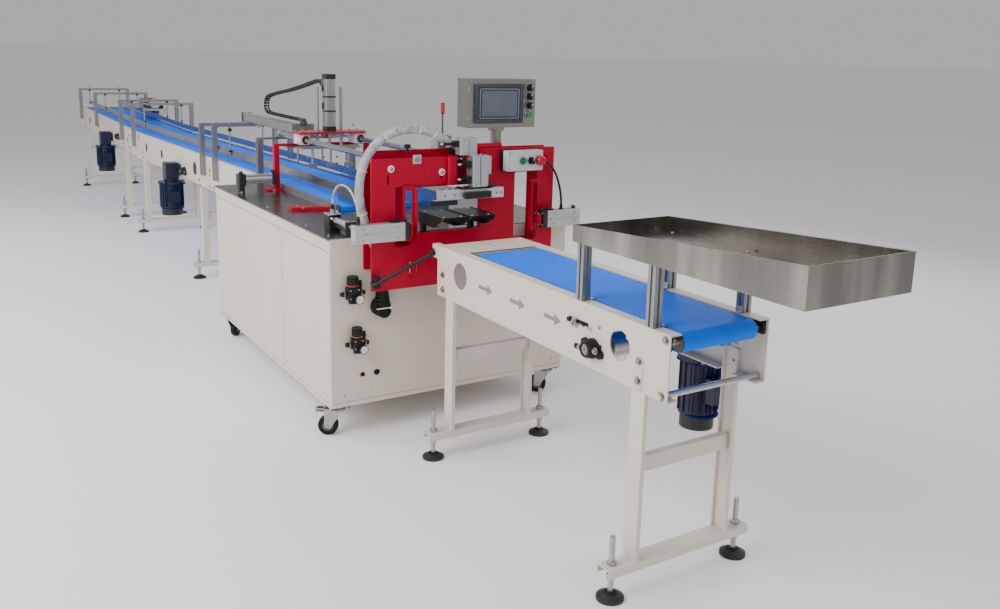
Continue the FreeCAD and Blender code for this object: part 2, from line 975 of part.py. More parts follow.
# Posts with cross bars over the infeed, and the guide rails on hangers
push_z = gantry_level + push_barrel_rise
post_left = infeed_left - profile / 2.0
post_right = infeed_right + profile / 2.0
posts = []
hangers = []
for offset in gate_offsets:
    x = infeed_near_end - offset
    level = level_at(x)
    top = infeed_level + post_rise
    if offset == min(gate_offsets):
        top = push_z - push_barrel / 2.0 - push_cap_rim - cross_bar
    low = level - post_drop
    half = cross_bar / 2.0
    bar = box(x - half, x + half, post_left - profile / 2.0, post_right + profile / 2.0, top, top + cross_bar)
    posts.append(fuse([profile_post(x, post_left, low, top), profile_post(x, post_right, low, top), bar]))
    for y, side in ((rail_left, 1), (rail_right, -1)):
        stem_y = y - side * (rail_sheet / 2.0 + hanger_radius)
        stem_x = x + hanger_reach
        bottom = level + rail_rise + hanger_overlap
        stem = rod((stem_x, stem_y, bottom), (stem_x, stem_y, level + rail_rise + hanger_height),
                   hanger_radius)
        block = hanger_block / 2.0
        knob = box(x + half, stem_x + block, stem_y - block, stem_y + block, top, top + hanger_block)
        hangers.append(fuse([stem, knob]))
parts["infeed_posts"] = group(posts)
parts["rail_hangers"] = group(hangers)
rails = []
far_z = infeed_level + rail_rise
joint_z = joint_level + rail_rise
rail_far = infeed_far_end + rail_end_inset
rail_near = -wall_end_gap - wall_length
for y in (rail_left, rail_right):
    y0 = y - rail_sheet / 2.0
    outline = [(rail_far, y0, far_z), (joint_x, y0, joint_z), (infeed_near_end, y0, far_z),
               (rail_near, y0, far_z),
               (rail_near, y0, far_z + rail_height), (infeed_near_end, y0, far_z + rail_height),
               (joint_x, y0, joint_z + rail_height), (rail_far, y0, far_z + rail_height)]
    rails.append(prism(outline, (0, rail_sheet, 0)))

# Aluminium walls that lead the product into the mouth
for y, side in ((rail_left - rail_sheet / 2.0, 1), (rail_right + rail_sheet / 2.0, -1)):
    inner = y + side * wall_sheet
    foot_start = -wall_end_gap - wall_foot_length
    wall_top = table_height + wall_rise
    pieces = [box(rail_near, -wall_end_gap, y, inner, table_height + wall_lift, wall_top),
              box(foot_start, -wall_end_gap, y, inner, table_height, wall_top),
              box(foot_start, -wall_end_gap, y - side * wall_foot, inner, table_height,
                  table_height + wall_sheet)]
    rails.append(fuse(pieces))
parts["guide_rails"] = group([fuse(rails)])


def gearmotor(x, shaft_z, length, radius, y_face, outward):
    """Gearbox seated on the plate face with the motor hanging under it."""
    y = y_face + outward * motor_stand
    low = shaft_z - gearbox_depth + gearbox_top
    gear = box(x - gearbox_length / 2.0, x + gearbox_length / 2.0, y - gearbox_width / 2.0,
               y + gearbox_width / 2.0, low, shaft_z + gearbox_top)
    flange_top = low - motor_neck_height
    flange_low = flange_top - motor_flange
    bottom = shaft_z - length
    pieces = [rounded(gear, gearbox_round, upright),
              rod((x, y, shaft_z), (x, y_face, shaft_z), gearbox_seat),
              rod((x, y, flange_top), (x, y, low + 2.0), motor_neck),
              rod((x, y, flange_low), (x, y, flange_top), radius + motor_flange_rim),
              rod((x, y, bottom + cowl_height), (x, y, flange_low), radius),
              rod((x, y, bottom), (x, y, bottom + cowl_height), radius - cowl_step)]
    for index in range(fin_count):
        fin = box(radius - fin_depth, radius + fin_depth, -fin_width / 2.0, fin_width / 2.0,
                  bottom + cowl_height + 2.0 * fin_depth, flange_low - fin_depth)
        fin.rotate(FreeCAD.Vector(0, 0, 0), FreeCAD.Vector(0, 0, 1), 360.0 * index / fin_count)
        fin.translate(FreeCAD.Vector(x, y, 0))
        pieces.append(fin)
    top = shaft_z - terminal_drop
    pieces.append(box(x + radius - cowl_step, x + radius + terminal_depth, y - terminal_width / 2.0,
                      y + terminal_width / 2.0, top - terminal_height, top))
    return fuse(pieces)


def flange_bearing(x, y, outward, z):
    """Two-bolt oval flange bearing on a plate face."""
    face = y + outward * bearing_sheet
    half = bearing_pitch / 2.0
    pieces = [rod((x, y, z), (x, face, z), bearing_radius),
              box(x - half, x + half, y, face, z - bearing_web / 2.0, z + bearing_web / 2.0),
              cone((x, face, z), (x, y + outward * bearing_dome, z), bearing_radius - 5.0,
                   shaft_radius + 7.0),
              rod((x, face, z), (x, y + outward * bearing_shaft, z), shaft_radius)]
    for side in (-1, 1):
        ear_x = x + side * half
        ear_z = z - side * bearing_lift
        pieces.append(rod((ear_x, y, ear_z), (ear_x, face, ear_z), bearing_ear))
    return fuse(pieces)


motors = []
for offset in motor_offsets:
    x = infeed_near_end - offset
    motors.append(gearmotor(x, level_at(x) - motor_drop, motor_length, motor_radius, infeed_left, -1))
bearings = []
for offset, drop in zip(bearing_offsets, bearing_drops):
    x = infeed_near_end - offset
    bearings.append(flange_bearing(x, infeed_left, -1, level_at(x) - drop))

# Lane divider unit on its shelf at the far end
x = infeed_near_end - divider_offset
low = level_at(x - divider_length / 2.0)
shelf = low + divider_shelf_rise
unit_z = shelf + divider_sheet
far = x - divider_length / 2.0
near = x + divider_length / 2.0
outer = infeed_right + divider_outer
pieces = [box(far, near, infeed_right - divider_leg, outer, low, shelf),
          box(far, near, infeed_right - divider_reach, outer, shelf, unit_z)]
housing_near = x + divider_sheet
housing_y = outer - divider_housing_width - divider_leg
housing = box(housing_near - divider_housing_length, housing_near, housing_y,
              housing_y + divider_housing_width, unit_z, unit_z + divider_housing_height)
pieces.append(rounded(housing, divider_round, upright))
motor_z = unit_z + divider_motor_radius + divider_ring
motor_y = housing_y + divider_housing_width / 2.0
pieces.append(rod((housing_near, motor_y, motor_z), (housing_near + divider_motor_length, motor_y, motor_z),
                  divider_motor_radius))
ring_pitch = divider_motor_length / (divider_ring_count + 1)
for index in range(divider_ring_count):
    ring_x = housing_near + (index + 0.7) * ring_pitch
    pieces.append(rod((ring_x, motor_y, motor_z), (ring_x + divider_ring_width, motor_y, motor_z),
                      divider_motor_radius + divider_ring))
cover_x = housing_near - divider_housing_length
cover_y = housing_y + divider_leg
cover = box(cover_x - divider_cover_length, cover_x, cover_y, cover_y + divider_cover_width,
            unit_z, unit_z + divider_cover_height)
pieces.append(rounded(cover, divider_round, lambda e: upright(e) and e.BoundBox.XMin < cover_x - 1.0))
parts["divider_unit"] = fuse(pieces)

# Gantry: two chromed rods between the far stand and the rear red plate
rod_ys = (lane_mid - gantry_half, lane_mid + gantry_half)
bar_low = gantry_level - stand_bar_drop
bar_high = bar_low + stand_bar
half = profile / 2.0
pieces = [box(gantry_far - half, gantry_far + half, lane_mid - stand_half - half,
              lane_mid + stand_half + half,
              bar_low, bar_high)]
for side in (-1, 1):
    pieces.append(profile_post(gantry_far, lane_mid + side * stand_half, table_height, bar_low))
gantry_rods = []
for y in rod_ys:
    half = stand_block_length / 2.0
    pieces.append(box(gantry_far - half, gantry_far + half, y - stand_block_half, y + stand_block_half,
                      bar_high, gantry_level + stand_block_rise))
    gantry_rods.append(rod((gantry_far - gantry_overhang, y, gantry_level), (0, y, gantry_level),
                           gantry_rod_radius))
push_near = gantry_far - push_barrel_gap
push_far = push_near - push_barrel_length
bracket_near = push_near + bracket_sheet
chain_low = gantry_level + chain_rise - chain_thickness / 2.0
bracket = [box(push_near, bracket_near, lane_mid - bracket_half, lane_mid + bracket_half,
               bar_high, gantry_level + bracket_rise),
           box(push_near, gantry_far + profile / 2.0, lane_mid - bracket_half, lane_mid + bracket_half,
               bar_high, bar_high + bracket_floor),
           box(push_near, bracket_near, lane_mid - chain_arm_width / 2.0, lane_mid + chain_arm_width / 2.0,
               gantry_level + bracket_rise, chain_low - chain_clearance)]
push_bore = rod((push_near - reach_through, lane_mid, push_z), (bracket_near + reach_through, lane_mid,
                                                                push_z),
                push_rod_radius + push_bore_gap)
parts["gantry_stand"] = fuse(pieces + bracket).cut(gantry_rods + [push_bore])
parts["gantry_rods"] = group(gantry_rods)

# Long cylinder that drives the carriage
half = push_barrel / 2.0
barrel = box(push_far + push_cap_length, push_near - push_cap_length, lane_mid - half, lane_mid + half,
             push_z - half, push_z + half)
for side in (-1, 1):
    y = lane_mid + side * half
    depth = push_groove / 2.0
    height = push_groove_height / 2.0
    barrel = barrel.cut(box(push_far, push_near, y - depth, y + depth, push_z - height, push_z + height))
half = half + push_cap_rim
caps = []
for x in (push_far, push_near - push_cap_length):
    caps.append(box(x, x + push_cap_length, lane_mid - half, lane_mid + half, push_z - half, push_z + half))
bore = rod((push_far + push_wall, lane_mid, push_z), (push_near + reach_through, lane_mid, push_z),
           push_rod_radius + push_bore_gap)
parts["push_cylinder"] = fuse([barrel] + caps).cut(bore)

# Carriage with bearing blocks on the rods
home = gantry_far + carriage_offset
plate_z = gantry_level + bearing_block / 2.0 + carriage_plate_gap
base_z = plate_z + carriage_plate_thickness
long_half = carriage_plate_length / 2.0
wide_half = carriage_plate_width / 2.0
plate = box(home - long_half, home + long_half, lane_mid - wide_half, lane_mid + wide_half, plate_z, base_z)
plate = rounded(plate, carriage_round, upright)
guide_ys = (lane_mid - lift_guide_half, lane_mid + lift_guide_half)
for y in guide_ys:
    plate = plate.cut(rod((home, y, plate_z - 1.0), (home, y, base_z + 1.0),
                          lift_guide_radius + lift_guide_gap))
plate = plate.cut(rod((home, lane_mid, plate_z - 1.0), (home, lane_mid, base_z + 1.0),
                      lift_rod_radius + lift_rod_gap))
blocks = []
for y in rod_ys:
    half = bearing_block / 2.0
    reach = bearing_block_length / 2.0
    block = box(home - reach, home + reach, y - half, y + half,
                plate_z - bearing_block - carriage_plate_gap, plate_z)
    pieces = [rounded(block, bearing_cap, along_x)]
    for side in (-1, 1):
        pieces.append(rod((home + side * reach, y, gantry_level), (home + side * (reach + bearing_cap), y,
                                                                   gantry_level),
                          bearing_cap_radius))
    bore = rod((home - wide_half, y, gantry_level), (home + wide_half, y, gantry_level),
               gantry_rod_radius + bearing_gap)
    blocks.append(fuse(pieces).cut(bore))
parts["carriage"] = fuse([plate] + blocks)
lug_x = home - lug_offset
lug = box(lug_x - lug_length, lug_x, lane_mid - lug_width / 2.0, lane_mid + lug_width / 2.0,
          push_z - lug_drop, plate_z)
stem = rod((push_near - push_rod_reach, lane_mid, push_z), (lug_x - lug_length / 2.0, lane_mid, push_z),
           push_rod_radius)
parts["push_rod"] = fuse([lug, stem])

# Lift cylinder on the carriage
half = lift_barrel / 2.0
inner = half - lift_step
lift_top = base_z + lift_length
barrel = box(home - inner, home + inner, lane_mid - inner, lane_mid + inner, base_z + lift_cap,
             lift_top - lift_cap)
barrel = rounded(barrel, lift_cap_round, upright)
width = lift_groove / 2.0
for side in (-1, 1):
    y = lane_mid + side * inner
    x = home + side * inner
    barrel = barrel.cut(box(home - width, home + width, y - lift_groove_depth, y + lift_groove_depth,
                            base_z, lift_top))
    barrel = barrel.cut(box(x - lift_groove_depth, x + lift_groove_depth, lane_mid - width, lane_mid + width,
                            base_z, lift_top))
pieces = [barrel]
spans = [(base_z, lift_cap), (lift_top - lift_cap, lift_cap)]
spans.extend((base_z + rise, lift_band_height) for rise in lift_band_rises)
for low, height in spans:
    ring = box(home - half, home + half, lane_mid - half, lane_mid + half, low, low + height)
    pieces.append(rounded(ring, lift_cap_round, upright))
arm_z = gantry_level + chain_arm_rise
pieces.append(box(home - half - chain_arm_reach, home - half + lift_step + reach_through,
                  lane_mid - chain_arm_width / 2.0, lane_mid + chain_arm_width / 2.0,
                  arm_z, arm_z + chain_arm_sheet))
bore = rod((home, lane_mid, base_z - 1.0), (home, lane_mid, lift_top - lift_top_wall), lift_bore)
parts["lift_cylinder"] = fuse(pieces).cut(bore)

# Pusher under the carriage
bar_top = gantry_level - pusher_drop
bar_low = bar_top - pusher_bar_sheet
half = pusher_bar_width / 2.0
reach = pusher_bar_length / 2.0
bar = box(home - reach, home + reach, lane_mid - half, lane_mid + half, bar_low, bar_top)
pieces = [rounded(bar, lift_cap_round, upright)]
for y in guide_ys:
    pieces.append(rod((home, y, bar_low), (home, y, base_z + lift_guide_rise), lift_guide_radius))
pieces.append(rod((home, lane_mid, bar_low), (home, lane_mid, base_z + lift_cap + lift_rod_rise),
                  lift_rod_radius))
finger_x = home + finger_offset
finger_low = bar_top - finger_length
half = pad_block / 2.0
for step in (-1, 0, 1):
    y = lane_mid + step * finger_pitch
    pieces.append(rod((finger_x, y, finger_low - half), (finger_x, y, bar_low + 1.0), finger_radius))
    pad = box(finger_x - half, finger_x + half, y - pad_block_width / 2.0, y + pad_block_width / 2.0,
              finger_low - pad_block_height, finger_low)
    pieces.append(rounded(pad, clamp_round, along_x))
parts["pusher"] = fuse(pieces)

# Cable chain from the stand, over the barrel, to the top of the lift cylinder
chain_far = gantry_far - chain_return
arm_top = arm_z + chain_arm_sheet
chain_z = gantry_level + chain_rise
chain_path = [(gantry_far - 45.0, chain_z), (chain_far, chain_z), (chain_far - 58.0, chain_z + 10.0),
              (chain_far - 80.0, chain_z + 42.0), (chain_far - 62.0, chain_z + 83.0), (chain_far,
                                                                                       arm_top - 81.0),
              (home - 460.0, arm_top - 28.0), (home - 150.0, arm_top + 27.0), (home - 100.0, arm_top + 26.0),
              (home - 65.0, arm_top + 8.0)]
curve = Part.BSplineCurve()
curve.buildFromPoles([FreeCAD.Vector(x, lane_mid, z) for x, z in chain_path], False, 2)
start = FreeCAD.Vector(chain_path[0][0], lane_mid, chain_path[0][1])
half = chain_width / 2.0
thick = chain_thickness / 2.0
corners = [start + FreeCAD.Vector(0, y, z) for y, z in ((-half, -thick), (half, -thick), (half, thick),
                                                        (-half, thick))]
section = Part.makePolygon(corners + [corners[0]])
parts["cable_chain"] = Part.Wire([curve.toShape()]).makePipeShell([section], True, False)

# Red portal over the lane, hold-down rods and stop cylinder
portal_x = gantry_far + portal_offset
portal_left = infeed_left - portal_gap
portal_right = infeed_right + portal_gap
portal_high = table_height + portal_rise
half = portal_bar / 2.0
pieces = [box(portal_x - half, portal_x + half, portal_left - half, portal_right + half,
              portal_high - portal_top, portal_high)]
foot_x = portal_x - portal_foot_offset
for y, outward in ((portal_left, -1), (portal_right, 1)):
    pieces.append(box(portal_x - half, portal_x + half, y - half, y + half, table_height, portal_high))
    pieces.append(box(foot_x, foot_x + portal_foot_length, y - outward * half,
                      y + outward * portal_foot_reach,
                      table_height, table_height + portal_foot_sheet))
far = -table_bar_far
bar_right = table_bar_left + table_bar_length
outline = [(far, table_bar_left, table_height), (far + table_bar_width, table_bar_left, table_height),
           (far + table_bar_width + table_bar_skew, bar_right, table_height),
           (far + table_bar_skew, bar_right, table_height)]
pieces.append(prism(outline, (0, 0, table_bar_height)))
parts["table_brackets"] = fuse(pieces)
hold_high = portal_high - portal_top
hold_x = portal_x - hold_bar_offset
pieces = [box(hold_x, hold_x + hold_bar_length, lane_mid - hold_bar_half, lane_mid + hold_bar_half,
              hold_high - hold_bar_sheet, hold_high)]
for step in (-1, 0, 1):
    y = lane_mid + step * hold_rod_pitch
    pieces.append(rod((portal_x, y, table_height + hold_rod_rise), (portal_x, y, hold_high - 1.0),
                      hold_rod_radius))
parts["hold_down"] = fuse(pieces)
x = portal_x + stop_offset
z = table_height + stop_rise
stop_end = portal_left - portal_bar / 2.0
head_start = stop_end - stop_head_length
barrel_start = stop_start + stop_cap_length
half = stop_cap_half
pieces = [rod((x, barrel_start, z), (x, head_start, z), stop_radius)]
for y0, y1 in ((stop_start, barrel_start), (head_start, stop_end)):
    pieces.append(rounded(box(x - half, x + half, y0, y1, z - half, z + half), stop_round, upright))
    y = (y0 + y1) / 2.0
    pieces.append(rod((x, y, z + half - 2.0), (x, y, z + half + port_rise), port_radius))
foot_y = stop_start + stop_round
pieces.append(box(x - stop_foot_length / 2.0, x + stop_foot_length / 2.0, foot_y, foot_y + stop_foot_width,
                  table_height, z - half))
parts["stop_cylinder"] = fuse(pieces)

# Small cylinder near the outlet corner of the table
x = -corner_offset
y = corner_inset
half = corner_block / 2.0
top = table_height + corner_height
block = box(x - half, x + half, y - half, y + half, table_height, top)
pieces = [rounded(block, stop_round, upright)]
for step, radius, rise in zip((0, 1), corner_port_radii, corner_port_rises):
    port_x = x + step * corner_port_pitch
    pieces.append(rod((port_x, y, top - 2.0), (port_x, y, top + rise), radius))
for rise, radius in zip(corner_rod_rises, corner_rod_radii):
    z = table_height + rise
    pieces.append(rod((x + half - 1.0, y, z), (-corner_plate_sheet, y, z), radius))
half = corner_plate_width / 2.0
pieces.append(box(-corner_plate_sheet, 0, y - half, y + half, table_height,
                  table_height + corner_plate_height))
parts["corner_cylinder"] = fuse(pieces)

# Guard strip beside the lane
y = infeed_right + guard_gap
step_x = -guard_far + guard_step
notch_x = -guard_far + 0.75 * guard_step
outline = []
corner_xs = (-guard_far, step_x, step_x, -guard_near, -guard_near, notch_x, notch_x, -guard_far)
for x, rise in zip(corner_xs, guard_rises):
    outline.append((x, y, table_height + rise))
pieces = [prism(outline, (0, guard_sheet, 0))]
back = y + guard_sheet
for x, rise in zip((-guard_far + guard_step / 2.0, -guard_near - guard_step / 2.0), guard_post_rises):
    pieces.append(box(x - guard_post_width / 2.0, x + guard_post_width / 2.0, back, back + guard_post_sheet,
                      table_height, table_height + rise))
parts["guard_strip"] = fuse(pieces)

# Red bagging frame
frame_left = lane_mid - frame_left_reach
frame_right = lane_mid + frame_right_reach
mouth_left = lane_mid - mouth_left_reach
mouth_right = lane_mid + mouth_right_reach
mouth_low = table_height + mouth_low_rise
mouth_high = table_height + mouth_high_rise
front_high = table_height + front_plate_rise
solid_high = table_height + solid_rise
notch_left = lane_mid + notch_reach


def frame_plate(x, low, high):
    """Upright plate across the outlet with the sight window cut through it."""
    plate = box(x, x + frame_sheet, frame_left, frame_right, low, high)
    return plate.cut(through(x, lane_mid + window_left_reach, lane_mid + window_right_reach,
                             table_height - window_low_drop, table_height + window_high_rise))


def through(x, y0, y1, z0, z1):
    """Cutter that passes through a frame plate at x."""
    return box(x - 1.0, x + frame_sheet + 1.0, y0, y1, z0, z1)


front = frame_plate(front_x, table_height - front_plate_drop, solid_high)
cutters = [through(front_x, frame_left - 1.0, lane_mid + notch_step_reach, front_high, solid_high + 1.0),
           through(front_x, mouth_left, mouth_right, mouth_low, mouth_high),
           through(front_x, notch_left, mouth_right, mouth_high - 1.0, solid_high + 1.0),
           through(front_x, mouth_left, lane_mid - mouth_step_reach, table_height - mouth_step_drop,
                   mouth_low + 1.0)]
front = rounded(front.cut(cutters), plate_edge_round, along_x)
slots = []
for y_reach, z_drop in ((-270.0, 240.0), (-45.0, 250.0), (-290.0, -110.0), (-145.0, -110.0)):
    y = lane_mid + y_reach
    z = table_height + z_drop
    slots.append(through(front_x, y - bolt_slot_width / 2.0, y + bolt_slot_width / 2.0,
                         z - bolt_slot_length, z))
front = front.cut(slots)
lip = box(front_face, front_face + arm_lip_depth, notch_left - arm_lip_width - arm_side_sheet / 2.0,
          notch_left - arm_side_sheet / 2.0, mouth_high, front_high)
side = box(front_x - arm_side_depth, front_x, notch_left - arm_side_sheet, notch_left, mouth_high, front_high)
manifold_z = front_high - manifold_height
manifold_x = front_x - arm_side_depth + 2.0
manifold = box(manifold_x, manifold_x + manifold_length, notch_left, notch_left + manifold_width,
               manifold_z, manifold_z + manifold_height)
parts["front_plate"] = fuse([front, rounded(lip, arm_lip_round, upright), side])
rear = frame_plate(frame_seat_gap, table_height - rear_plate_drop, solid_high)
rear = rear.cut(through(frame_seat_gap, lane_mid - rear_mouth_left_reach, lane_mid + rear_mouth_right_reach,
                        table_height + table_sheet, mouth_high - pad_block))
rear = rounded(rear, plate_edge_round, along_x)
y = lane_mid + lean_reach
near = frame_seat_gap + frame_sheet
lean = prism([(frame_seat_gap, y, solid_high - lean_overlap), (near, y, solid_high - lean_overlap),
              (frame_seat_gap, y, solid_high + lean_rise),
              (frame_seat_gap - frame_sheet, y, solid_high + lean_rise)], (0, lean_width, 0))
spacers = []
low_z = table_height + spacer_rows[0]
high_z = table_height + spacer_rows[1]
for y, z in ((-300.0, high_z), (-20.0, high_z), (225.0, high_z), (450.0, high_z),
             (-240.0, low_z), (-25.0, low_z), (215.0, low_z), (445.0, low_z)):
    spacers.append(rod((near, lane_mid + y, z), (front_x, lane_mid + y, z), spacer_radius))
parts["rear_plate"] = fuse([rear, lean] + spacers)

# Side clamps: cylinders on the front plate and frames that slide across it
clamp_level = table_height + clamp_rise
clamp_x = front_face + clamp_body_gap
clamp_near = clamp_x + clamp_body_depth
clamp_low = clamp_level - clamp_body_height / 2.0
clamp_high = clamp_level + clamp_body_height / 2.0
clamp_mid_x = clamp_x + clamp_body_depth / 2.0
frame_x = front_face + clamp_frame_gap
frame_near = frame_x + clamp_frame_sheet


def clamp_cylinder(outer, inner, inward):
    """Guided cylinder with a black end at inner, on its bracket."""
    shoulder = inner - inward * clamp_end
    block = rounded(box(clamp_x, clamp_near, outer, shoulder, clamp_low, clamp_high), clamp_round,
                    lambda e: e.BoundBox.YLength > clamp_bracket_width)
    cutters = [box(clamp_near - clamp_groove, clamp_near + 1.0, outer, shoulder,
                   clamp_level - clamp_groove, clamp_level + clamp_groove)]
    for y in (outer + inward * 1.5 * clamp_end, shoulder - inward * 1.5 * clamp_end):
        for z in (clamp_level - clamp_screw_half, clamp_level + clamp_screw_half):
            cutters.append(rod((clamp_near - clamp_round, y, z), (clamp_near + 1.0, y, z),
                               clamp_screw_radius))
    block = block.cut(cutters)
    pieces = [box(clamp_x, clamp_near, shoulder, inner, clamp_low, clamp_high)]
    for y in (inner - inward * clamp_end / 2.0, outer + inward * clamp_port_inset):
        pieces.append(rod((clamp_mid_x, y, clamp_high - 1.0), (clamp_mid_x, y, clamp_high + clamp_port_rise),
                          clamp_port_radius))
    bores = []
    for z in (clamp_level - clamp_pin_half, clamp_level + clamp_pin_half):
        bores.append(rod((clamp_mid_x, inner - inward * clamp_bore_length, z),
                         (clamp_mid_x, inner + inward, z), clamp_pin_radius + clamp_pin_gap))
    return fuse([block] + pieces).cut(bores)


def clamp_bracket(start, inward):
    half = clamp_bracket_height / 2.0
    return box(front_face, clamp_x, start, start + inward * clamp_bracket_width, clamp_level - half,
               clamp_level + half)


def clamp(inner, inward):
    """Upright frame with a slit and a bent jaw, yoked to two pins of the cylinder."""
    start = inner - inward * clamp_frame_overlap
    end = start + inward * clamp_frame_width
    lo = min(start, end)
    hi = max(start, end)
    low = table_height - clamp_frame_drop
    high = table_height + clamp_frame_rise
    frame = box(frame_x, frame_near, lo, hi, low, high)
    slit = box(frame_x - 1.0, frame_near + 1.0, lo + clamp_rail, hi - clamp_rail,
               low + clamp_slit_low, high - clamp_slit_high)
    frame = frame.cut(rounded(slit, clamp_rail / 2.0, along_x))
    frame = rounded(frame, arm_lip_round, lambda e: along_x(e) and e.BoundBox.ZMin > high - 1.0)
    yoke_y = inner + inward * clamp_yoke
    pieces = [frame,
              box(frame_x, frame_near + clamp_jaw_depth, end, end - inward * clamp_frame_sheet,
                  low, high - clamp_jaw_drop),
              box(frame_x, clamp_mid_x + clamp_pin_half, yoke_y, yoke_y + inward * clamp_yoke,
                  clamp_level - 2.0 * clamp_pin_half, clamp_level + 2.0 * clamp_pin_half)]
    for z in (clamp_level - clamp_pin_half, clamp_level + clamp_pin_half):
        pieces.append(rod((clamp_mid_x, inner - inward * clamp_pin_length, z),
                          (clamp_mid_x, yoke_y + inward, z),
                          clamp_pin_radius))
    return fuse(pieces)


left_outer = lane_mid - left_clamp_outer_reach
left_inner = lane_mid - left_clamp_inner_reach
right_inner = lane_mid + right_clamp_inner_reach
right_outer = lane_mid + right_clamp_outer_reach
parts["clamp_cylinders"] = group([
    fuse([clamp_cylinder(left_outer, left_inner, 1), clamp_bracket(frame_left + clamp_round, 1)]),
    fuse([clamp_cylinder(right_outer, right_inner, -1), clamp_bracket(frame_right - 1.0, -1)])])
parts["left_clamp"] = clamp(left_inner, 1)
parts["right_clamp"] = clamp(right_inner, -1)

# Head: guided cylinders above the mouth with the sealing bar
head_mid = lane_mid + head_mid_reach
head_x = front_face + head_gap
head_near = head_x + head_depth
head_left = head_mid - head_width / 2.0
head_low = table_height + head_low_rise
head_high = table_height + head_high_rise
arm_low = table_height + head_arm_low_rise
arm_right = head_mid + head_arm_right
guide_x = head_x + head_depth / 2.0
pieces = [box(front_face, head_x, head_mid + head_arm_left, arm_right, arm_low, arm_low + head_arm_height),
          box(head_x - head_arm_sheet, head_x, head_left, arm_right, arm_low, arm_low + head_arm_height)]
slide = box(head_x, head_near, head_left, head_left + head_width, head_low, head_high)
slide = rounded(slide, head_round, upright)
cutters = [box(head_near - head_groove_depth, head_near + 1.0, head_mid - head_groove / 2.0,
               head_mid + head_groove / 2.0, head_low - 1.0, head_high + 1.0)]
guides = []
for side in (-1, 1):
    y = head_mid + side * head_guide_half
    cutters.append(rod((guide_x, y, head_low - 1.0), (guide_x, y, head_low + head_bore_length),
                       head_guide_radius + head_guide_gap))
    guides.append(rod((guide_x, y, table_height + head_bar_rise + head_bar_height - 5.0),
                      (guide_x, y, head_low + head_guide_length), head_guide_radius))
pieces.append(slide.cut(cutters))
y = head_mid - upper_cylinder_left
x = head_x - upper_cylinder_back
upper = box(x, x + upper_cylinder_depth, y, y + upper_cylinder_width, head_high,
            head_high + upper_cylinder_height)
upper = rounded(upper, head_round, upright)
groove_y = y + upper_cylinder_width / 2.0
upper = upper.cut(box(x + upper_cylinder_depth - head_groove_depth, x + upper_cylinder_depth + 1.0,
                      groove_y - head_groove_depth, groove_y + head_groove_depth,
                      head_high, head_high + upper_cylinder_height))
pieces.append(upper)
parts["head_cylinder"] = fuse(pieces)
bar_low = table_height + head_bar_rise
x = head_x + head_bar_offset
bar = box(x, x + head_bar_depth, lane_mid - head_bar_left_reach, lane_mid + head_bar_right_reach,
          bar_low, bar_low + head_bar_height)
pieces = [rounded(bar, clamp_round, lambda e: e.BoundBox.YLength > head_width)]
near = x + head_bar_depth
pieces.append(box(near, near + head_jaw_depth, lane_mid + head_jaw_left_reach,
                  lane_mid + head_jaw_right_reach,
                  bar_low + head_jaw_lift, bar_low + head_jaw_lift + head_jaw_height))
foot_x = x + head_jaw_lift
pieces.append(box(foot_x, foot_x + head_foot_depth, lane_mid - head_foot_left_reach,
                  lane_mid - head_foot_right_reach,
                  bar_low - head_foot_height, bar_low))
parts["head_bar"] = fuse(pieces + guides)

# Bag former standing out of the mouth
former_left = lane_mid - former_left_reach
former_right = lane_mid + former_right_reach
former_low = table_height + former_low_rise
former_high = table_height + former_high_rise
former_mid = (former_left + former_right) / 2.0


def former_half(y0, y1):
    """Thin box, open along its underside, with a raked nose."""
    sheet = former_sheet
    outer = box(former_start, former_end, y0, y1, former_low, former_high)
    inner = box(former_start - 1.0, former_end + 1.0, y0 + sheet, y1 - sheet, former_low + sheet,
                former_high - sheet)
    opened = box(former_start - 1.0, former_end + 1.0, y0 + former_shelf, y1 - former_shelf,
                 former_low - 1.0, former_low + sheet + 1.0)
    nose = prism([(former_end - former_nose, y0 - 1.0, former_low - 1.0),
                  (former_end + 1.0, y0 - 1.0, former_low - 1.0),
                  (former_end + 1.0, y0 - 1.0, former_high - former_nose_top)], (0, y1 - y0 + 2.0, 0))
    return outer.cut([inner, opened, nose])


pieces = [former_half(former_left, former_mid - former_gap / 2.0),
          former_half(former_mid + former_gap / 2.0, former_right)]
post_low = mouth_low - former_post_drop - mouth_low_rise
for y, inward in ((former_left + former_post_inset, 1), (former_right - former_post_inset, -1)):
    start = former_start + former_post_inset
    end = y + inward * former_post_width
    pieces.append(box(start, start + former_post_depth, y, end, post_low, former_low))
    pieces.append(box(frame_seat_gap * 2.0 + frame_sheet, start + former_post_depth, y, end,
                      post_low, post_low + former_post_depth))
parts["bag_former"] = fuse(pieces)

# Valve block with its indicator rod, and the hose manifold
valve_left = lane_mid - valve_left_reach
valve_right = lane_mid + valve_right_reach
valve_top = solid_high + valve_high
block = rounded(box(-valve_depth, 0, valve_left, valve_right, solid_high - valve_low, valve_top),
                corner_radius, upright)
neck = box(-valve_depth + valve_neck_margin, -valve_neck_margin, valve_left + valve_neck_margin,
           valve_right - valve_neck_margin, solid_high - valve_neck_drop, solid_high - valve_low)
x = -indicator_setback
y = lane_mid + indicator_tip_radius
tip_low = valve_top + indicator_length - indicator_tip_length
parts["valve_block"] = fuse([block, neck,
                             rod((x, y, valve_top - 1.0), (x, y, tip_low), indicator_radius),
                             rod((x, y, tip_low), (x, y, valve_top + indicator_length), indicator_tip_radius),
                             ])
parts["hose_manifold"] = manifold

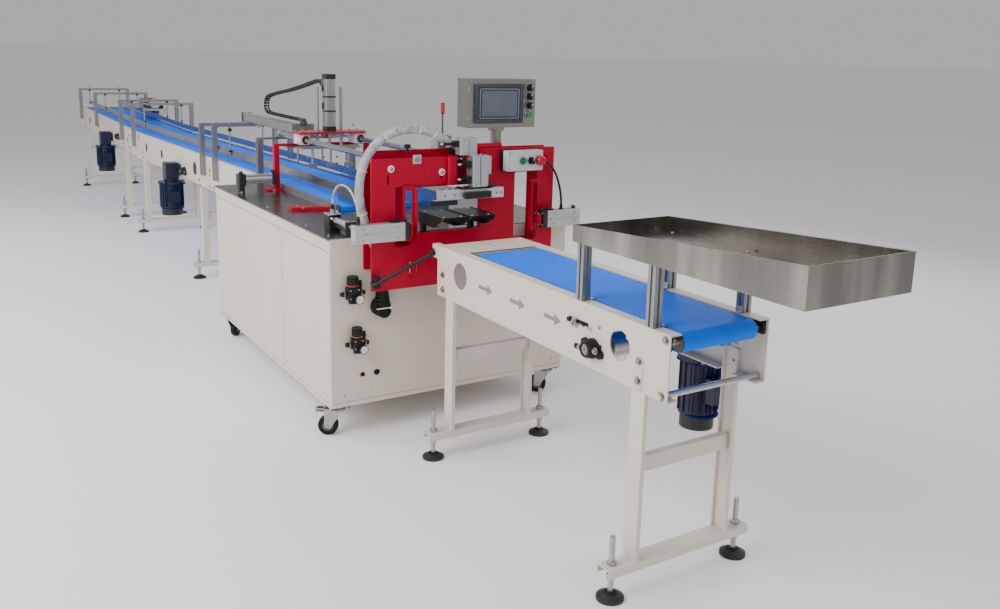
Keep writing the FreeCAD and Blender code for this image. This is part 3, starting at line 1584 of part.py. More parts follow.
# Outfeed conveyor
left = side_plate(outfeed_start, outfeed_end, outfeed_left, 1, outfeed_top, outfeed_plate, outfeed_flange)
right = side_plate(outfeed_start, outfeed_end, outfeed_right, -1, outfeed_top, outfeed_plate, outfeed_flange)
cutters = []
y0 = outfeed_left - reach_through
y1 = outfeed_right + reach_through
for offset, radius in zip(outfeed_window_offsets, outfeed_window_radii):
    x = outfeed_start + offset
    z = outfeed_top - outfeed_window_drop
    cutters.append(rod((x, y0, z), (x, y1, z), radius))
x = outfeed_start + outfeed_slot_offset
z = outfeed_top - outfeed_slot_drop
slot = box(x, x + outfeed_slot_length, y0, y1, z, z + outfeed_slot_height)
cutters.append(rounded(slot, outfeed_slot_height / 2.0 - 0.5, along_y))
tie_x = outfeed_end - tie_rod_inset
tie_z = outfeed_top - outfeed_plate + tie_rod_rise
tie_ends = ((tie_x, outfeed_left - tie_rod_overhang, tie_z), (tie_x, outfeed_right + tie_rod_overhang, tie_z))
cutters.append(rod(tie_ends[0], tie_ends[1], tie_rod_radius))
plate_low = outfeed_top - outfeed_plate
for offset in outfeed_leg_offsets:
    x = outfeed_start + offset
    half = outfeed_leg_web / 2.0 + leg_notch_gap
    cutters.append(box(x - half, x + half, outfeed_left + plate_sheet, outfeed_right - plate_sheet,
                       plate_low - leg_notch_gap, plate_low + plate_sheet + leg_notch_gap))
stay_low = (front_face + stay_setback, frame_left - stay_low_left, table_height - stay_low_drop)
stay_high = (outfeed_start - stay_block_length / 2.0, outfeed_left + stay_block_width / 2.0,
             outfeed_top - stay_block_height / 2.0)
stay = rod(stay_low, stay_high, stay_radius)
stay_block = box(outfeed_start - stay_block_length, outfeed_start, outfeed_left,
                 outfeed_left + stay_block_width,
                 outfeed_top - stay_block_height, outfeed_top)
end_plate = box(outfeed_start, outfeed_start + plate_sheet, outfeed_left, outfeed_right,
                outfeed_top - outfeed_plate, outfeed_top)
cover_start = outfeed_start + plate_sheet
cover_end = cover_start + cover_length
cover = box(cover_start, cover_end, outfeed_left + outfeed_flange, outfeed_right - outfeed_flange,
            outfeed_top - cover_sheet, outfeed_top)
outfeed_plates = fuse([left, right, end_plate, cover, stay_block.cut(stay)]).cut(cutters)
parts["outfeed_side_plates"] = fuse([outfeed_plates, rod(tie_ends[0], tie_ends[1], tie_rod_radius)])
lug_y = frame_left + 1.0
lug_z = stay_low[2] - stay_radius
lug = box(front_face, stay_low[0] + stay_radius + table_gap, lug_y, lug_y + stay_lug_width,
          lug_z, lug_z + stay_lug_height)
parts["outfeed_stay"] = fuse([stay, lug])
belt_y0 = outfeed_left + outfeed_flange + outfeed_belt_gap
belt_y1 = outfeed_right - outfeed_flange - outfeed_belt_gap
belt_top = outfeed_top - outfeed_belt_drop
belt_start = cover_end + corner_radius
belt_end = outfeed_end + outfeed_belt_overhang
belts.append(belt_loop(belt_start, belt_end, belt_y0, belt_y1, belt_top, nose_radius))
y0 = outfeed_left + plate_sheet
y1 = outfeed_right - plate_sheet
z = belt_top - nose_radius - belt_sheet
for x in (belt_start + nose_radius + belt_sheet, belt_end - nose_radius - belt_sheet):
    drum = rod((x, belt_y0 - roller_overhang, z), (x, belt_y1 + roller_overhang, z), nose_radius - roller_gap)
    rollers.append(fuse([drum, rod((x, y0, z), (x, y1, z), nose_shaft_radius)]))
drive_x = outfeed_start + drive_offset
drive_z = table_height - drive_drop
rollers.append(fuse([rod((drive_x, belt_y0, drive_z), (drive_x, belt_y1, drive_z), drive_radius),
                     rod((drive_x, y0, drive_z), (drive_x, y1, drive_z), shaft_radius)]))
motors.append(gearmotor(drive_x, drive_z, outfeed_motor_length, outfeed_motor_radius, outfeed_right, 1))
bearings.append(flange_bearing(drive_x, outfeed_left, -1, drive_z))
for offset in outfeed_leg_offsets:
    x = outfeed_start + offset
    frame = leg_frame(x, outfeed_mid, outfeed_width / 2.0 - plate_sheet, outfeed_leg_web, outfeed_leg_depth,
                      outfeed_foot_overhang, plate_low + outfeed_leg_overlap,
                      table_height - outfeed_brace_drop)
    stand_on_feet(frame, x, outfeed_mid, outfeed_width / 2.0 + outfeed_foot_overhang - outfeed_foot_inset,
                  parts["outfeed_side_plates"])
parts["conveyor_belts"] = group(belts)
parts["belt_rollers"] = group(rollers)
parts["gearmotors"] = group(motors)
parts["flange_bearings"] = group(bearings)
parts["leg_frames"] = group(frames)
parts["levelling_feet"] = group(feet)

# Tray on profile posts
tray_low = outfeed_top + tray_rise
tray_far = outfeed_start + tray_offset
tray_near = tray_far + tray_length
tray_left = outfeed_mid - tray_width / 2.0
posts = []
for step in (0, 1):
    x = tray_far + tray_post_offset + step * tray_post_pitch
    for y in (outfeed_left + profile / 2.0, outfeed_right - profile / 2.0):
        posts.append(profile_post(x, y, outfeed_top, tray_low))
parts["tray_posts"] = group(posts)
outline = [(tray_far, tray_left, tray_low), (tray_near, tray_left, tray_low),
           (tray_near, tray_left, tray_low + tray_near_wall), (tray_far, tray_left, tray_low + tray_far_wall)]
hollow = box(tray_far + tray_sheet, tray_near - tray_sheet, tray_left + tray_sheet,
             tray_left + tray_width - tray_sheet, tray_low + tray_sheet, tray_low + 2.0 * tray_near_wall)
parts["tray"] = prism(outline, (0, tray_width, 0)).cut(hollow)

# Operator panel on its post
panel_mid = lane_mid + panel_reach
panel_low = table_height + panel_rise
half = panel_width / 2.0
case = box(-panel_depth, 0, panel_mid - half, panel_mid + half, panel_low, panel_low + panel_height)
post_x = -panel_depth / 2.0
parts["panel_case"] = fuse([rounded(case, panel_round, along_x),
                            rod((post_x, panel_mid, table_height), (post_x, panel_mid, panel_low),
                                panel_post_radius),
                            rod((post_x, panel_mid, table_height),
                                (post_x, panel_mid, table_height + panel_foot_height),
                                panel_foot_radius)])
y = panel_mid - half + screen_left
z = panel_low + screen_low
screen = box(0, screen_depth, y, y + screen_width, z, z + screen_height)
parts["panel_screen"] = rounded(screen, screen_round, along_x)
y = panel_mid + half - knob_inset
knobs = []
for step in range(knob_count + 1):
    z = panel_low + panel_height - knob_top - step * knob_pitch
    inner = knob_radius - knob_step
    if step < knob_count:
        grip = box(knob_base, knob_depth, y - grip_width / 2.0, y + grip_width / 2.0,
                   z - grip_height / 2.0, z + grip_height / 2.0)
        knobs.append(fuse([rod((0, y, z), (knob_base, y, z), knob_radius),
                           rod((knob_base, y, z), (button_depth, y, z), inner), grip]))
    else:
        knobs.append(fuse([rod((0, y, z), (knob_base, y, z), knob_radius),
                           rod((knob_base, y, z), (button_depth, y, z), inner)]))
parts["panel_controls"] = group(knobs)

# Control box with its buttons
y = lane_mid + control_reach
z = table_height + control_rise
face = front_face + control_depth
case = box(front_face, face, y, y + control_width, z, z + control_height)
parts["control_box"] = rounded(case, control_round, along_x)
z = z + control_height / 2.0
ys = [y + first_button + step * button_pitch for step in range(3)]
step_x = face + knob_base
parts["control_buttons"] = group([
    fuse([rod((face, ys[0], z), (step_x, ys[0], z), button_radius),
          rod((step_x, ys[0], z), (face + button_depth, ys[0], z), button_radius - knob_step)]),
    fuse([rod((face, ys[1], z), (step_x, ys[1], z), button_radius),
          box(step_x, face + knob_depth, ys[1] - grip_width / 2.0, ys[1] + grip_width / 2.0,
              z - grip_height / 2.0, z + grip_height / 2.0)]),
    fuse([rod((face, ys[2], z), (face + stop_stem, ys[2], z), stop_stem_radius),
          cone((face + stop_stem, ys[2], z), (face + stop_stem + stop_head_depth / 2.0, ys[2], z),
               stop_head_radius - 1.0, stop_head_radius),
          cone((face + stop_stem + stop_head_depth / 2.0, ys[2], z), (face + stop_stem + stop_head_depth,
                                                                      ys[2], z),
               stop_head_radius, button_radius)])])


# Air regulators and the cable boot on the outlet face
def regulator(y, z, size):
    """Body with a knob on top, a bowl below, ports to both sides and a dial facing out."""
    half = size / 2.0
    x = regulator_seat + half
    top = z + half + regulator_neck
    body = box(regulator_seat, regulator_seat + size, y - half, y + half, z - half, z + half)
    dial_y = y + dial_offset
    dial_z = z - dial_drop
    dial_x = regulator_seat + size
    pieces = [rounded(body, regulator_round, upright),
              rod((x, y, z + half), (x, y, top), 0.84 * half),
              rod((x, y, top), (x, y, top + regulator_knob), 0.92 * half),
              rod((x, y, z - half - regulator_bowl), (x, y, z - half), 0.72 * half),
              rod((x, y - half - regulator_port_reach, z), (x, y + half + regulator_port_reach, z),
                  regulator_port_radius),
              box(0, regulator_seat + 2.0, y - half + regulator_round, y + half - regulator_round,
                  z - half / 2.0, z + half / 2.0),
              rod((dial_x, dial_y, dial_z), (dial_x + dial_depth, dial_y, dial_z), dial_radius)]
    return fuse(pieces)


regulators = []
for y, drop, size in zip(regulator_insets, regulator_drops, regulator_sizes):
    regulators.append(regulator(y, table_height - drop, size))
parts["air_regulators"] = group(regulators)
y = boot_inset
z = table_height - boot_drop
boot_top = z + boot_rise
parts["cable_boot"] = fuse([rod((0, y, z), (boot_base, y, z), boot_radius),
                            cone((boot_base, y, z), (boot_setback, y, z), boot_radius, boot_neck),
                            rod((boot_setback, y, z), (boot_setback, y, boot_top), boot_pipe_radius)])

# Air lines and the button cable
x = boot_setback
bundle_end = (manifold_x + manifold_length / 2.0, notch_left + manifold_width / 2.0, front_high + bundle_gap)
bundle_points = [(x, y, boot_top + cord_gap), (x, y, boot_top + 62.0),
                 (x, y - 22.0, boot_top + 136.0), (x, y - 58.0, boot_top + 214.0),
                 (x, y - 87.0, boot_top + 292.0), (x, y - 100.0, boot_top + 376.0),
                 (x, y - 89.0, boot_top + 458.0), (x, y - 54.0, boot_top + 530.0),
                 (x, y + 4.0, boot_top + 581.0), (x, y + 78.0, boot_top + 607.0),
                 (x, y + 152.0, boot_top + 606.0), (x + 1.0, y + 218.0, boot_top + 588.0),
                 (x + 3.0, y + 270.0, boot_top + 556.0), bundle_end]
parts["hose_bundle"] = cord_tube("hose bundle", bundle_points, bundle_radius)
x = front_face + control_depth / 2.0
y = lane_mid + control_reach + control_width + cord_gap
z = table_height + control_rise + 0.4 * control_height
cable_end = (clamp_mid_x, y + 114.0, clamp_high + cord_gap)
cable_points = [(x, y, z), (x, y + 26.0, z), (x + 1.0, y + 54.0, z - 14.0), (x + 2.0, y + 79.0, z - 43.0),
                (x + 4.0, y + 97.0, z - 84.0), (x + 6.0, y + 109.0, z - 128.0),
                (clamp_mid_x, y + 114.0, clamp_high + 36.0), cable_end]
parts["control_cable"] = cord_tube("control cable", cable_points, cable_radius)
x = -corner_offset
y = corner_inset
z = table_height + corner_height + corner_port_rises[0] + cord_gap
port_z = clamp_high + clamp_port_rise + cord_gap
port_y = left_outer + clamp_port_inset
tube_points = [(x, y, z), (x, y, z + 26.0), (x + 12.0, y - 1.0, z + 54.0), (x + 36.0, y - 3.0, z + 80.0),
               (x + 70.0, y - 7.0, z + 99.0), (x + 112.0, y - 12.0, z + 111.0),
               (clamp_mid_x - 157.0, port_y + 13.0, port_z + 113.0), (clamp_mid_x - 112.0, port_y + 7.0,
                                                                      port_z + 111.0),
               (clamp_mid_x - 70.0, port_y + 3.0, port_z + 101.0), (clamp_mid_x - 36.0, port_y + 1.0,
                                                                    port_z + 82.0),
               (clamp_mid_x - 12.0, port_y, port_z + 56.0), (clamp_mid_x, port_y, port_z + 28.0),
               (clamp_mid_x, port_y, port_z)]
parts["air_tube"] = cord_tube("air tube", tube_points, tube_radius)

# Everything goes to the middle of its own bounding box, the floor kept at z = 0
whole = group(list(parts.values())).BoundBox
shift = FreeCAD.Vector(-whole.Center.x, -whole.Center.y, 0)
print("shift", shift.x, shift.y)
os.makedirs("parts", exist_ok=True)
for name, shape in parts.items():
    moved = shape.copy()
    moved.translate(shift)
    moved.exportStep("parts/" + name + ".step")
    print(name, len(moved.Solids), moved.isValid(), round(moved.Volume / 1e6, 3))
print(len(parts), "nodes")
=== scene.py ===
import math
import bmesh
import bpy
from mathutils import Matrix, Vector


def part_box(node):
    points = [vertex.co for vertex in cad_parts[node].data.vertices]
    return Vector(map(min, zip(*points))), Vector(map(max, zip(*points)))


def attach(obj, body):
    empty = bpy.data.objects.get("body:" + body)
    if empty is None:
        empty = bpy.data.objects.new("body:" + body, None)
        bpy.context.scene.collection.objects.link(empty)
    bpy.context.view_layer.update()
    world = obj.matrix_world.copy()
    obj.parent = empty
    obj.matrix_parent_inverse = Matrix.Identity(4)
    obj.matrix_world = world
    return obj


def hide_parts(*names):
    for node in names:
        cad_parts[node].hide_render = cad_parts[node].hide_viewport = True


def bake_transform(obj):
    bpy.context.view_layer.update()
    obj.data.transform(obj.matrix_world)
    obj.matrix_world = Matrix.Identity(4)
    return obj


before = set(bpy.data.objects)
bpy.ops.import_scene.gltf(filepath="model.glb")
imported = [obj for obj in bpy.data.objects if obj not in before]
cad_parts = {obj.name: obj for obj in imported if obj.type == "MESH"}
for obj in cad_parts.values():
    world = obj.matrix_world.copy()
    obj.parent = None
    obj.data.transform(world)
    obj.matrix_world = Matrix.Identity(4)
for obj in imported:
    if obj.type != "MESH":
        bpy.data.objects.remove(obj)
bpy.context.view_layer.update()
print("frame loaded:", len(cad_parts), "solids")

# Millimetres from the cabinet's outlet face, its drive side and the floor.
cabinetLow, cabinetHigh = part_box("cabinet_body")
corner = Vector((cabinetHigh.x, cabinetLow.y, 0.0))


def at(x, y, z):
    return corner + Vector((x, y, z)) / 1000


# Camera, at the photograph's place

view = {
    "spot": (3217, -1264, 1494), "yaw": 57.55, "pitch": 11.572, "roll": 1.492,
    "lens": 33.436, "shift": (-0.005473, -0.060143),
}


def makeCamera():
    yaw, pitch, roll = (math.radians(view[k]) for k in ("yaw", "pitch", "roll"))
    ahead = Vector((-math.sin(yaw) * math.cos(pitch), math.cos(yaw) * math.cos(pitch), -math.sin(pitch)))
    right = Vector((math.cos(yaw), math.sin(yaw), 0))
    above = right.cross(ahead)
    across = right * math.cos(roll) + above * math.sin(roll)
    upward = above * math.cos(roll) - right * math.sin(roll)
    turn = Matrix((across, upward, -ahead)).transposed().to_4x4()
    data = bpy.data.cameras.new("camera")
    data.sensor_width = 36
    data.lens = view["lens"]
    data.shift_x, data.shift_y = view["shift"]
    camera = bpy.data.objects.new("camera", data)
    camera.matrix_world = Matrix.Translation(at(*view["spot"])) @ turn
    bpy.context.scene.collection.objects.link(camera)
    bpy.context.scene.camera = camera


makeCamera()

# Shader maths: a socket that adds, subtracts and multiplies like a number


class Value:
    def __init__(self, finish, socket):
        self.finish = finish
        self.socket = socket

    def maths(self, operation, other, swapped=False):
        first, second = (other, self) if swapped else (self, other)
        return self.finish.node("ShaderNodeMath", {"operation": operation}, {0: first, 1: second})

    def __add__(self, other):
        return self.maths("ADD", other)

    def __sub__(self, other):
        return self.maths("SUBTRACT", other)

    def __rsub__(self, other):
        return self.maths("SUBTRACT", other, True)

    def __mul__(self, other):
        return self.maths("MULTIPLY", other)

    def __truediv__(self, other):
        return self.maths("DIVIDE", other)

    def __pow__(self, other):
        return self.maths("POWER", other)

    def __gt__(self, other):
        return self.maths("GREATER_THAN", other)

    def __lt__(self, other):
        return self.maths("LESS_THAN", other)

    def least(self, other):
        return self.maths("MINIMUM", other)

    def most(self, other):
        return self.maths("MAXIMUM", other)

    def step(self, low, high):  # 0 below low, 1 above high, smooth between
        return self.finish.node("ShaderNodeMapRange", {"interpolation_type": "SMOOTHSTEP"},
                                {"Value": self, "From Min": low, "From Max": high})

    __radd__ = __add__
    __rmul__ = __mul__


class Finish:  # one material, with the nodes that make it
    def __init__(self, name, colour=(0.5, 0.5, 0.5), roughness=0.5, **fixed):
        self.material = bpy.data.materials.new(name)
        self.material.use_nodes = True
        self.tree = self.material.node_tree
        self.shader = self.tree.nodes["Principled BSDF"]
        self.colour = colour
        self.set("Base Color", colour)
        self.set("Roughness", roughness)
        for key, value in fixed.items():
            self.set(key.replace("_", " "), value)
        self.place = self.node("ShaderNodeTexCoord", output="Object")

    def feed(self, socket, value):
        if isinstance(value, Value):
            self.tree.links.new(value.socket, socket)
        elif isinstance(value, tuple) and len(value) == 3 and len(socket.default_value) == 4:
            socket.default_value = (*value, 1.0)
        else:
            socket.default_value = value

    def node(self, kind, settings=None, inputs=None, output=0):
        made = self.tree.nodes.new(kind)
        for key, value in (settings or {}).items():
            if key == "stops":
                self.setStops(made.color_ramp, value)
            else:
                setattr(made, key, value)
        for key, value in (inputs or {}).items():
            self.feed(made.inputs[key], value)
        return Value(self, made.outputs[output])

    def setStops(self, ramp, stops):
        while len(ramp.elements) < len(stops):
            ramp.elements.new(0.5)
        for element, (spot, colour) in zip(ramp.elements, stops):
            element.position = spot
            element.color = (*colour, 1.0)

    def set(self, name, value):
        self.feed(self.shader.inputs[name], value)

    def axis(self, letter):  # metres along x, y or z
        return self.node("ShaderNodeSeparateXYZ", None, {0: self.place}, output=letter.upper())

    def stretched(self, scales, turn=(0, 0, 0)):
        return self.node("ShaderNodeMapping", None, {"Vector": self.place, "Scale": scales, "Rotation": turn})

    def noise(self, scale, detail=2.0, rough=0.5, vector=None):
        return self.node("ShaderNodeTexNoise", None, {
            "Vector": vector or self.place, "Scale": scale, "Detail": detail, "Roughness": rough})

    def cells(self, scale, vector=None, feature="F1"):
        return self.node("ShaderNodeTexVoronoi", {"feature": feature}, {
            "Vector": vector or self.place, "Scale": scale})

    def mixed(self, factor, first, second):
        return self.node("ShaderNodeMix", {"data_type": "RGBA"}, {0: factor, 6: first, 7: second}, output=2)

    def bump(self, height, strength, distance=0.001):
        self.set("Normal", self.node("ShaderNodeBump", None, {
            "Height": height, "Strength": strength, "Distance": distance}))


def shade(colour, factor):
    return tuple(min(1.0, c * factor) for c in colour)


finishes = {}


def painted(name, colour, gloss=0.36, dirt=0.25, peel=0.12, chips=0.0, coat=0.15, shine=0.25,
            chipColour=(0.16, 0.15, 0.14)):
    made = Finish(name, colour, gloss, Coat_Weight=coat, Coat_Roughness=0.22, Specular_IOR_Level=shine)
    cloudy = made.noise(1.7, 4, 0.6)
    smudge = made.noise(9, 5, 0.65)
    fine = made.noise(60, 3, 0.6)
    grime = (cloudy.step(0.45, 0.75) * 0.6 + smudge.step(0.5, 0.72) * 0.4) * dirt
    tone = made.mixed(grime, colour, shade(colour, 0.72))
    tone = made.mixed(fine.step(0.35, 0.75) * 0.12, tone, shade(colour, 1.12))
    if chips:
        chipped = made.noise(210, 6, 0.75).step(0.70 - chips, 0.72 - chips)
        tone = made.mixed(chipped, tone, chipColour)
    made.set("Base Color", tone)
    made.set("Roughness", gloss + smudge * 0.16 + grime * 0.4 - 0.06)
    made.bump(made.noise(420, 2, 0.5), peel)
    finishes[name] = made.material
    return made


def brushed(name, colour, along="x", rough=0.3, grain=0.25, smears=0.3, metallic=1.0, bands=0.0):
    made = Finish(name, colour, rough, Metallic=metallic)
    lengthwise = {"x": (6, 900, 900), "y": (900, 6, 900), "z": (900, 900, 6)}[along]
    streaks = made.noise(1.0, 4, 0.6, made.stretched(lengthwise))
    wide = made.noise(1.0, 3, 0.6, made.stretched(tuple(v * 0.12 for v in lengthwise)))
    smear = made.noise(5.5, 5, 0.65)
    tone = made.mixed(streaks * 0.5 + wide * 0.35, shade(colour, 0.8), shade(colour, 1.12))
    tone = made.mixed(smear.step(0.48, 0.75) * smears, tone, shade(colour, 0.66))
    if bands:  # painted reflections: upright lighter and darker bands, as a polished sheet mirrors the room
        tall = made.noise(1.0, 3, 0.5, made.stretched((5.5, 5.5, 0.7)))
        tone = made.mixed(tall.step(0.5, 0.66) * bands, tone, shade(colour, 1.9))
        tone = made.mixed((1 - tall.step(0.34, 0.48)) * bands, tone, shade(colour, 0.6))
    made.set("Base Color", tone)
    made.set("Roughness", rough + (streaks - 0.5) * 0.22 + smear.step(0.5, 0.8) * smears * 0.35)
    made.bump(streaks, grain, 0.0004)
    finishes[name] = made.material
    return made


def machined(name, colour, rough=0.24, metallic=1.0, spots=0.15):
    made = Finish(name, colour, rough, Metallic=metallic)
    cloud = made.noise(34, 4, 0.6)
    speck = made.noise(320, 3, 0.7)
    tone = made.mixed(cloud.step(0.42, 0.72) * spots * 2, colour, shade(colour, 0.7))
    made.set("Base Color", made.mixed(speck.step(0.55, 0.75) * spots, tone, shade(colour, 0.5)))
    made.set("Roughness", rough + cloud * 0.14 + speck * 0.06 - 0.08)
    made.bump(speck, 0.08, 0.0005)
    finishes[name] = made.material
    return made


def moulded(name, colour, rough=0.45, dust=0.15, bumps=0.18, scale=500, **fixed):
    dark = max(colour) < 0.06
    made = Finish(name, colour, rough, Specular_IOR_Level=0.22 if dark else 0.4, **fixed)
    cloud = made.noise(22, 4, 0.65)
    texture = made.noise(scale, 3, 0.6)
    lighter = tuple(c * 0.9 + (0.03 if dark else 0.09) for c in colour)
    made.set("Base Color", made.mixed(cloud.step(0.45, 0.8) * dust, colour, lighter))
    made.set("Roughness", rough + cloud * 0.18 + texture * 0.08 - 0.12)
    made.bump(texture, bumps, 0.0006)
    finishes[name] = made.material
    return made


def banded(name, base, bands, rough=0.34, metal=0.0, wear=0.3):
    # One solid in several finishes: each band is (axis, low, high, colour, roughness, metallic)
    made = Finish(name, base, rough)
    fine = made.noise(180, 3, 0.6)
    cloud = made.noise(16, 4, 0.6)
    tone, gloss, metallic = base, rough, metal
    for letter, low, high, colour, bandRough, bandMetal in bands:
        spot = made.axis(letter)
        inside = (spot > low) * (spot < high)
        tone = made.mixed(inside, tone, colour)
        gloss = inside * (bandRough - rough) + gloss if gloss is rough else (1 - inside) * gloss + inside * bandRough
        metallic = inside * (bandMetal - metal) + metallic if metallic is metal else (
            (1 - inside) * metallic + inside * bandMetal)
    dulled = made.node("ShaderNodeHueSaturation", None, {"Value": 0.7, "Color": tone})
    tone = made.mixed(fine.step(0.45, 0.75) * wear + cloud.step(0.5, 0.8) * wear * 0.6, tone, dulled)
    made.set("Base Color", tone)
    made.set("Roughness", fine * 0.12 + cloud * 0.1 + gloss - 0.1)
    made.set("Metallic", metallic)
    made.bump(fine, 0.08, 0.0005)
    finishes[name] = made.material
    return made


def belting(name, colour, rough=0.42):
    # Smooth woven-back belt: faint cloth marks, scuffs along the run, grey dust
    made = Finish(name, colour, rough, Specular_IOR_Level=0.06)
    scuff = made.noise(1.0, 4, 0.65, made.stretched((3, 130, 40)))
    cloud = made.noise(7, 4, 0.6)
    weave = made.node("ShaderNodeTexWave", {"wave_type": "BANDS", "bands_direction": "X"}, {
        "Vector": made.place, "Scale": 260.0, "Distortion": 0.6}, output=1)
    crossing = made.node("ShaderNodeTexWave", {"wave_type": "BANDS", "bands_direction": "Y"}, {
        "Vector": made.place, "Scale": 260.0, "Distortion": 0.6}, output=1)
    tone = made.mixed(cloud.step(0.35, 0.75) * 0.35, colour, shade(colour, 0.72))
    tone = made.mixed(scuff.step(0.56, 0.74) * 0.12, tone, (0.10, 0.30, 0.66))
    made.set("Base Color", tone)
    made.set("Roughness", rough + scuff * 0.16 + cloud * 0.1 - 0.1)
    made.bump(weave * crossing + scuff * 0.6, 0.1, 0.0004)
    finishes[name] = made.material
    return made


def clearTubing(name, colour, rough=0.18, ripple=40, see=0.55, lumps=0.35):
    made = Finish(name, colour, rough, Transmission_Weight=see, IOR=1.42)
    ring = made.noise(ripple, 4, 0.6)
    made.set("Base Color", made.mixed(ring.step(0.4, 0.65), shade(colour, 1.25), shade(colour, 0.7)))
    made.set("Roughness", rough + ring * 0.2)
    made.bump(ring, lumps, 0.004)
    finishes[name] = made.material
    return made


creamColour = (0.70, 0.625, 0.53)
painted("creamPaint", creamColour)
painted("creamPanel", (0.69, 0.61, 0.525), dirt=0.35)
painted("redPaint", (0.44, 0.002, 0.026), gloss=0.36, dirt=0.35, chips=0.02, coat=0.04, shine=0.15)
painted("navyPaint", (0.002, 0.010, 0.10), gloss=0.45, dirt=0.2, peel=0.35, chips=0.012, coat=0.0, shine=0.12)
painted("greyPaint", (0.42, 0.43, 0.44), gloss=0.45, dirt=0.3)
# the tray's lighter and darker upright bands are painted reflections
brushed("brushedTray", (0.25, 0.235, 0.21), "x", 0.27, smears=0.4, bands=0.75)
brushed("brushedCase", (0.40, 0.375, 0.35), "y", 0.27)
brushed("tableSteel", (0.27, 0.26, 0.25), "x", 0.24, smears=0.45)
brushed("guideSteel", (0.42, 0.415, 0.41), "x", 0.26)
brushed("profileAluminium", (0.34, 0.345, 0.355), "z", 0.34, 0.12, 0.3, 0.9)
brushed("barAluminium", (0.46, 0.465, 0.475), "x", 0.34, 0.12, 0.15, 0.85)
brushed("crossAluminium", (0.44, 0.445, 0.455), "y", 0.34, 0.12, 0.15, 0.85)
machined("barrelAluminium", (0.56, 0.57, 0.59), 0.32, 0.8)
machined("groundSteel", (0.52, 0.52, 0.53), 0.12, spots=0.08)
machined("zincSteel", (0.44, 0.43, 0.41), 0.3)
machined("boltSteel", (0.33, 0.31, 0.28), 0.3)
machined("darkSteel", (0.12, 0.12, 0.125), 0.38, 0.7)
machined("brass", (0.66, 0.46, 0.17), 0.3)
moulded("blackPlastic", (0.012, 0.012, 0.013), 0.42)
moulded("hubPlastic", (0.10, 0.085, 0.075), 0.5, 0.3)
moulded("bezelPlastic", (0.045, 0.05, 0.068), 0.4, 0.08)
moulded("displayGlow", (0.11, 0.12, 0.155), 0.16, 0.3, 0.02, Coat_Weight=0.6, Coat_Roughness=0.05)
moulded("seamShadow", (0.05, 0.045, 0.04), 0.7, 0.2)
moulded("arrowFilm", (0.22, 0.21, 0.20), 0.4, 0.5)
moulded("blackRubber", (0.010, 0.010, 0.010), 0.62, 0.25, 0.3, 240)
moulded("formerBlack", (0.016, 0.016, 0.017), 0.34, 0.2)
moulded("greyPlastic", (0.60, 0.61, 0.60), 0.44, 0.1)
moulded("whitePlastic", (0.80, 0.79, 0.74), 0.42, 0.1)
moulded("boxPlastic", (0.55, 0.58, 0.60), 0.46, 0.1)
moulded("bluePlastic", (0.02, 0.14, 0.50), 0.4, 0.1)
moulded("redPlastic", (0.62, 0.01, 0.012), 0.32, 0.05, Coat_Weight=0.4)
moulded("greenPlastic", (0.01, 0.24, 0.08), 0.32, 0.05, Coat_Weight=0.4)
moulded("yellowPlastic", (0.62, 0.70, 0.02), 0.45, 0.2)
moulded("screenGlass", (0.030, 0.035, 0.045), 0.1, 0.04, 0.02, Coat_Weight=1.0, Coat_Roughness=0.04)
belting("blueBelt", (0.0, 0.18, 1.0))
clearTubing("clearHose", (0.62, 0.63, 0.65), 0.22, 34, 0.5, 0.9)
clearTubing("clearTube", (0.78, 0.86, 0.92), 0.12, 90, 0.6)
print("finishes:", len(finishes))

# Finishes of the solids

bare = (0.40, 0.405, 0.415)
black = (0.013, 0.013, 0.014)
red = (0.44, 0.002, 0.026)
green = (0.0, 0.17, 0.06)
zinc = (0.44, 0.43, 0.41)


def alongX(x):
    return at(x, 0, 0).x


def alongY(y):
    return at(0, y, 0).y


banded("laneZones", creamColour, [("x", alongX(-1547), 99, bare, 0.32, 0.85)], 0.36)
banded("footZones", black, [("z", 0.0225, 9, zinc, 0.3, 1.0)], 0.5)
banded("buttonZones", green, [("y", alongY(783), 99, black, 0.35, 0.0), ("y", alongY(819.5), 99, red, 0.3, 0.0)], 0.3)
banded("panelButtonZones", green, [("z", 1.272, 9, black, 0.35, 0.0)], 0.3)
banded("liftZones", (0.48, 0.485, 0.50), [
    ("z", 0, 1.121, black, 0.4, 0.0), ("z", 1.352, 9, black, 0.4, 0.0), ("z", 1.192, 1.2, black, 0.4, 0.0),
    ("z", 1.262, 1.27, black, 0.4, 0.0)], 0.3, 0.85)
banded("carriageZones", (0.74, 0.71, 0.66), [("z", 1.086, 9, red, 0.32, 0.0)], 0.36)
banded("clampZones", (0.50, 0.515, 0.535), [
    ("y", alongY(249), alongY(270), black, 0.42, 0.0), ("y", alongY(876), alongY(897), black, 0.42, 0.0),
    ("z", 0.8685, 9, black, 0.42, 0.0)], 0.4, 0.45)
banded("stopZones", (0.52, 0.53, 0.545), [
    ("y", 0, alongY(71), black, 0.42, 0.0), ("y", -9, alongY(71), black, 0.42, 0.0),
    ("y", alongY(200), 99, black, 0.42, 0.0)], 0.3, 0.8)
banded("valveZones", (0.42, 0.40, 0.40), [
    ("z", 1.1725, 9, (0.10, 0.10, 0.105), 0.35, 0.6), ("z", 1.262, 9, red, 0.35, 0.0)], 0.36, 0.55)
banded("barZones", (0.66, 0.68, 0.69), [
    ("z", 0, 0.9418, black, 0.4, 0.0), ("x", alongX(148.4), 99, black, 0.4, 0.0)], 0.34, 0.7)
banded("cornerZones", black, [("z", 0.8585, 9, bare, 0.3, 0.8)], 0.42)
banded("pushZones", (0.46, 0.465, 0.48), [
    ("x", -99, alongX(-2530), black, 0.42, 0.0), ("x", alongX(-1592), 99, black, 0.42, 0.0)], 0.3, 0.85)
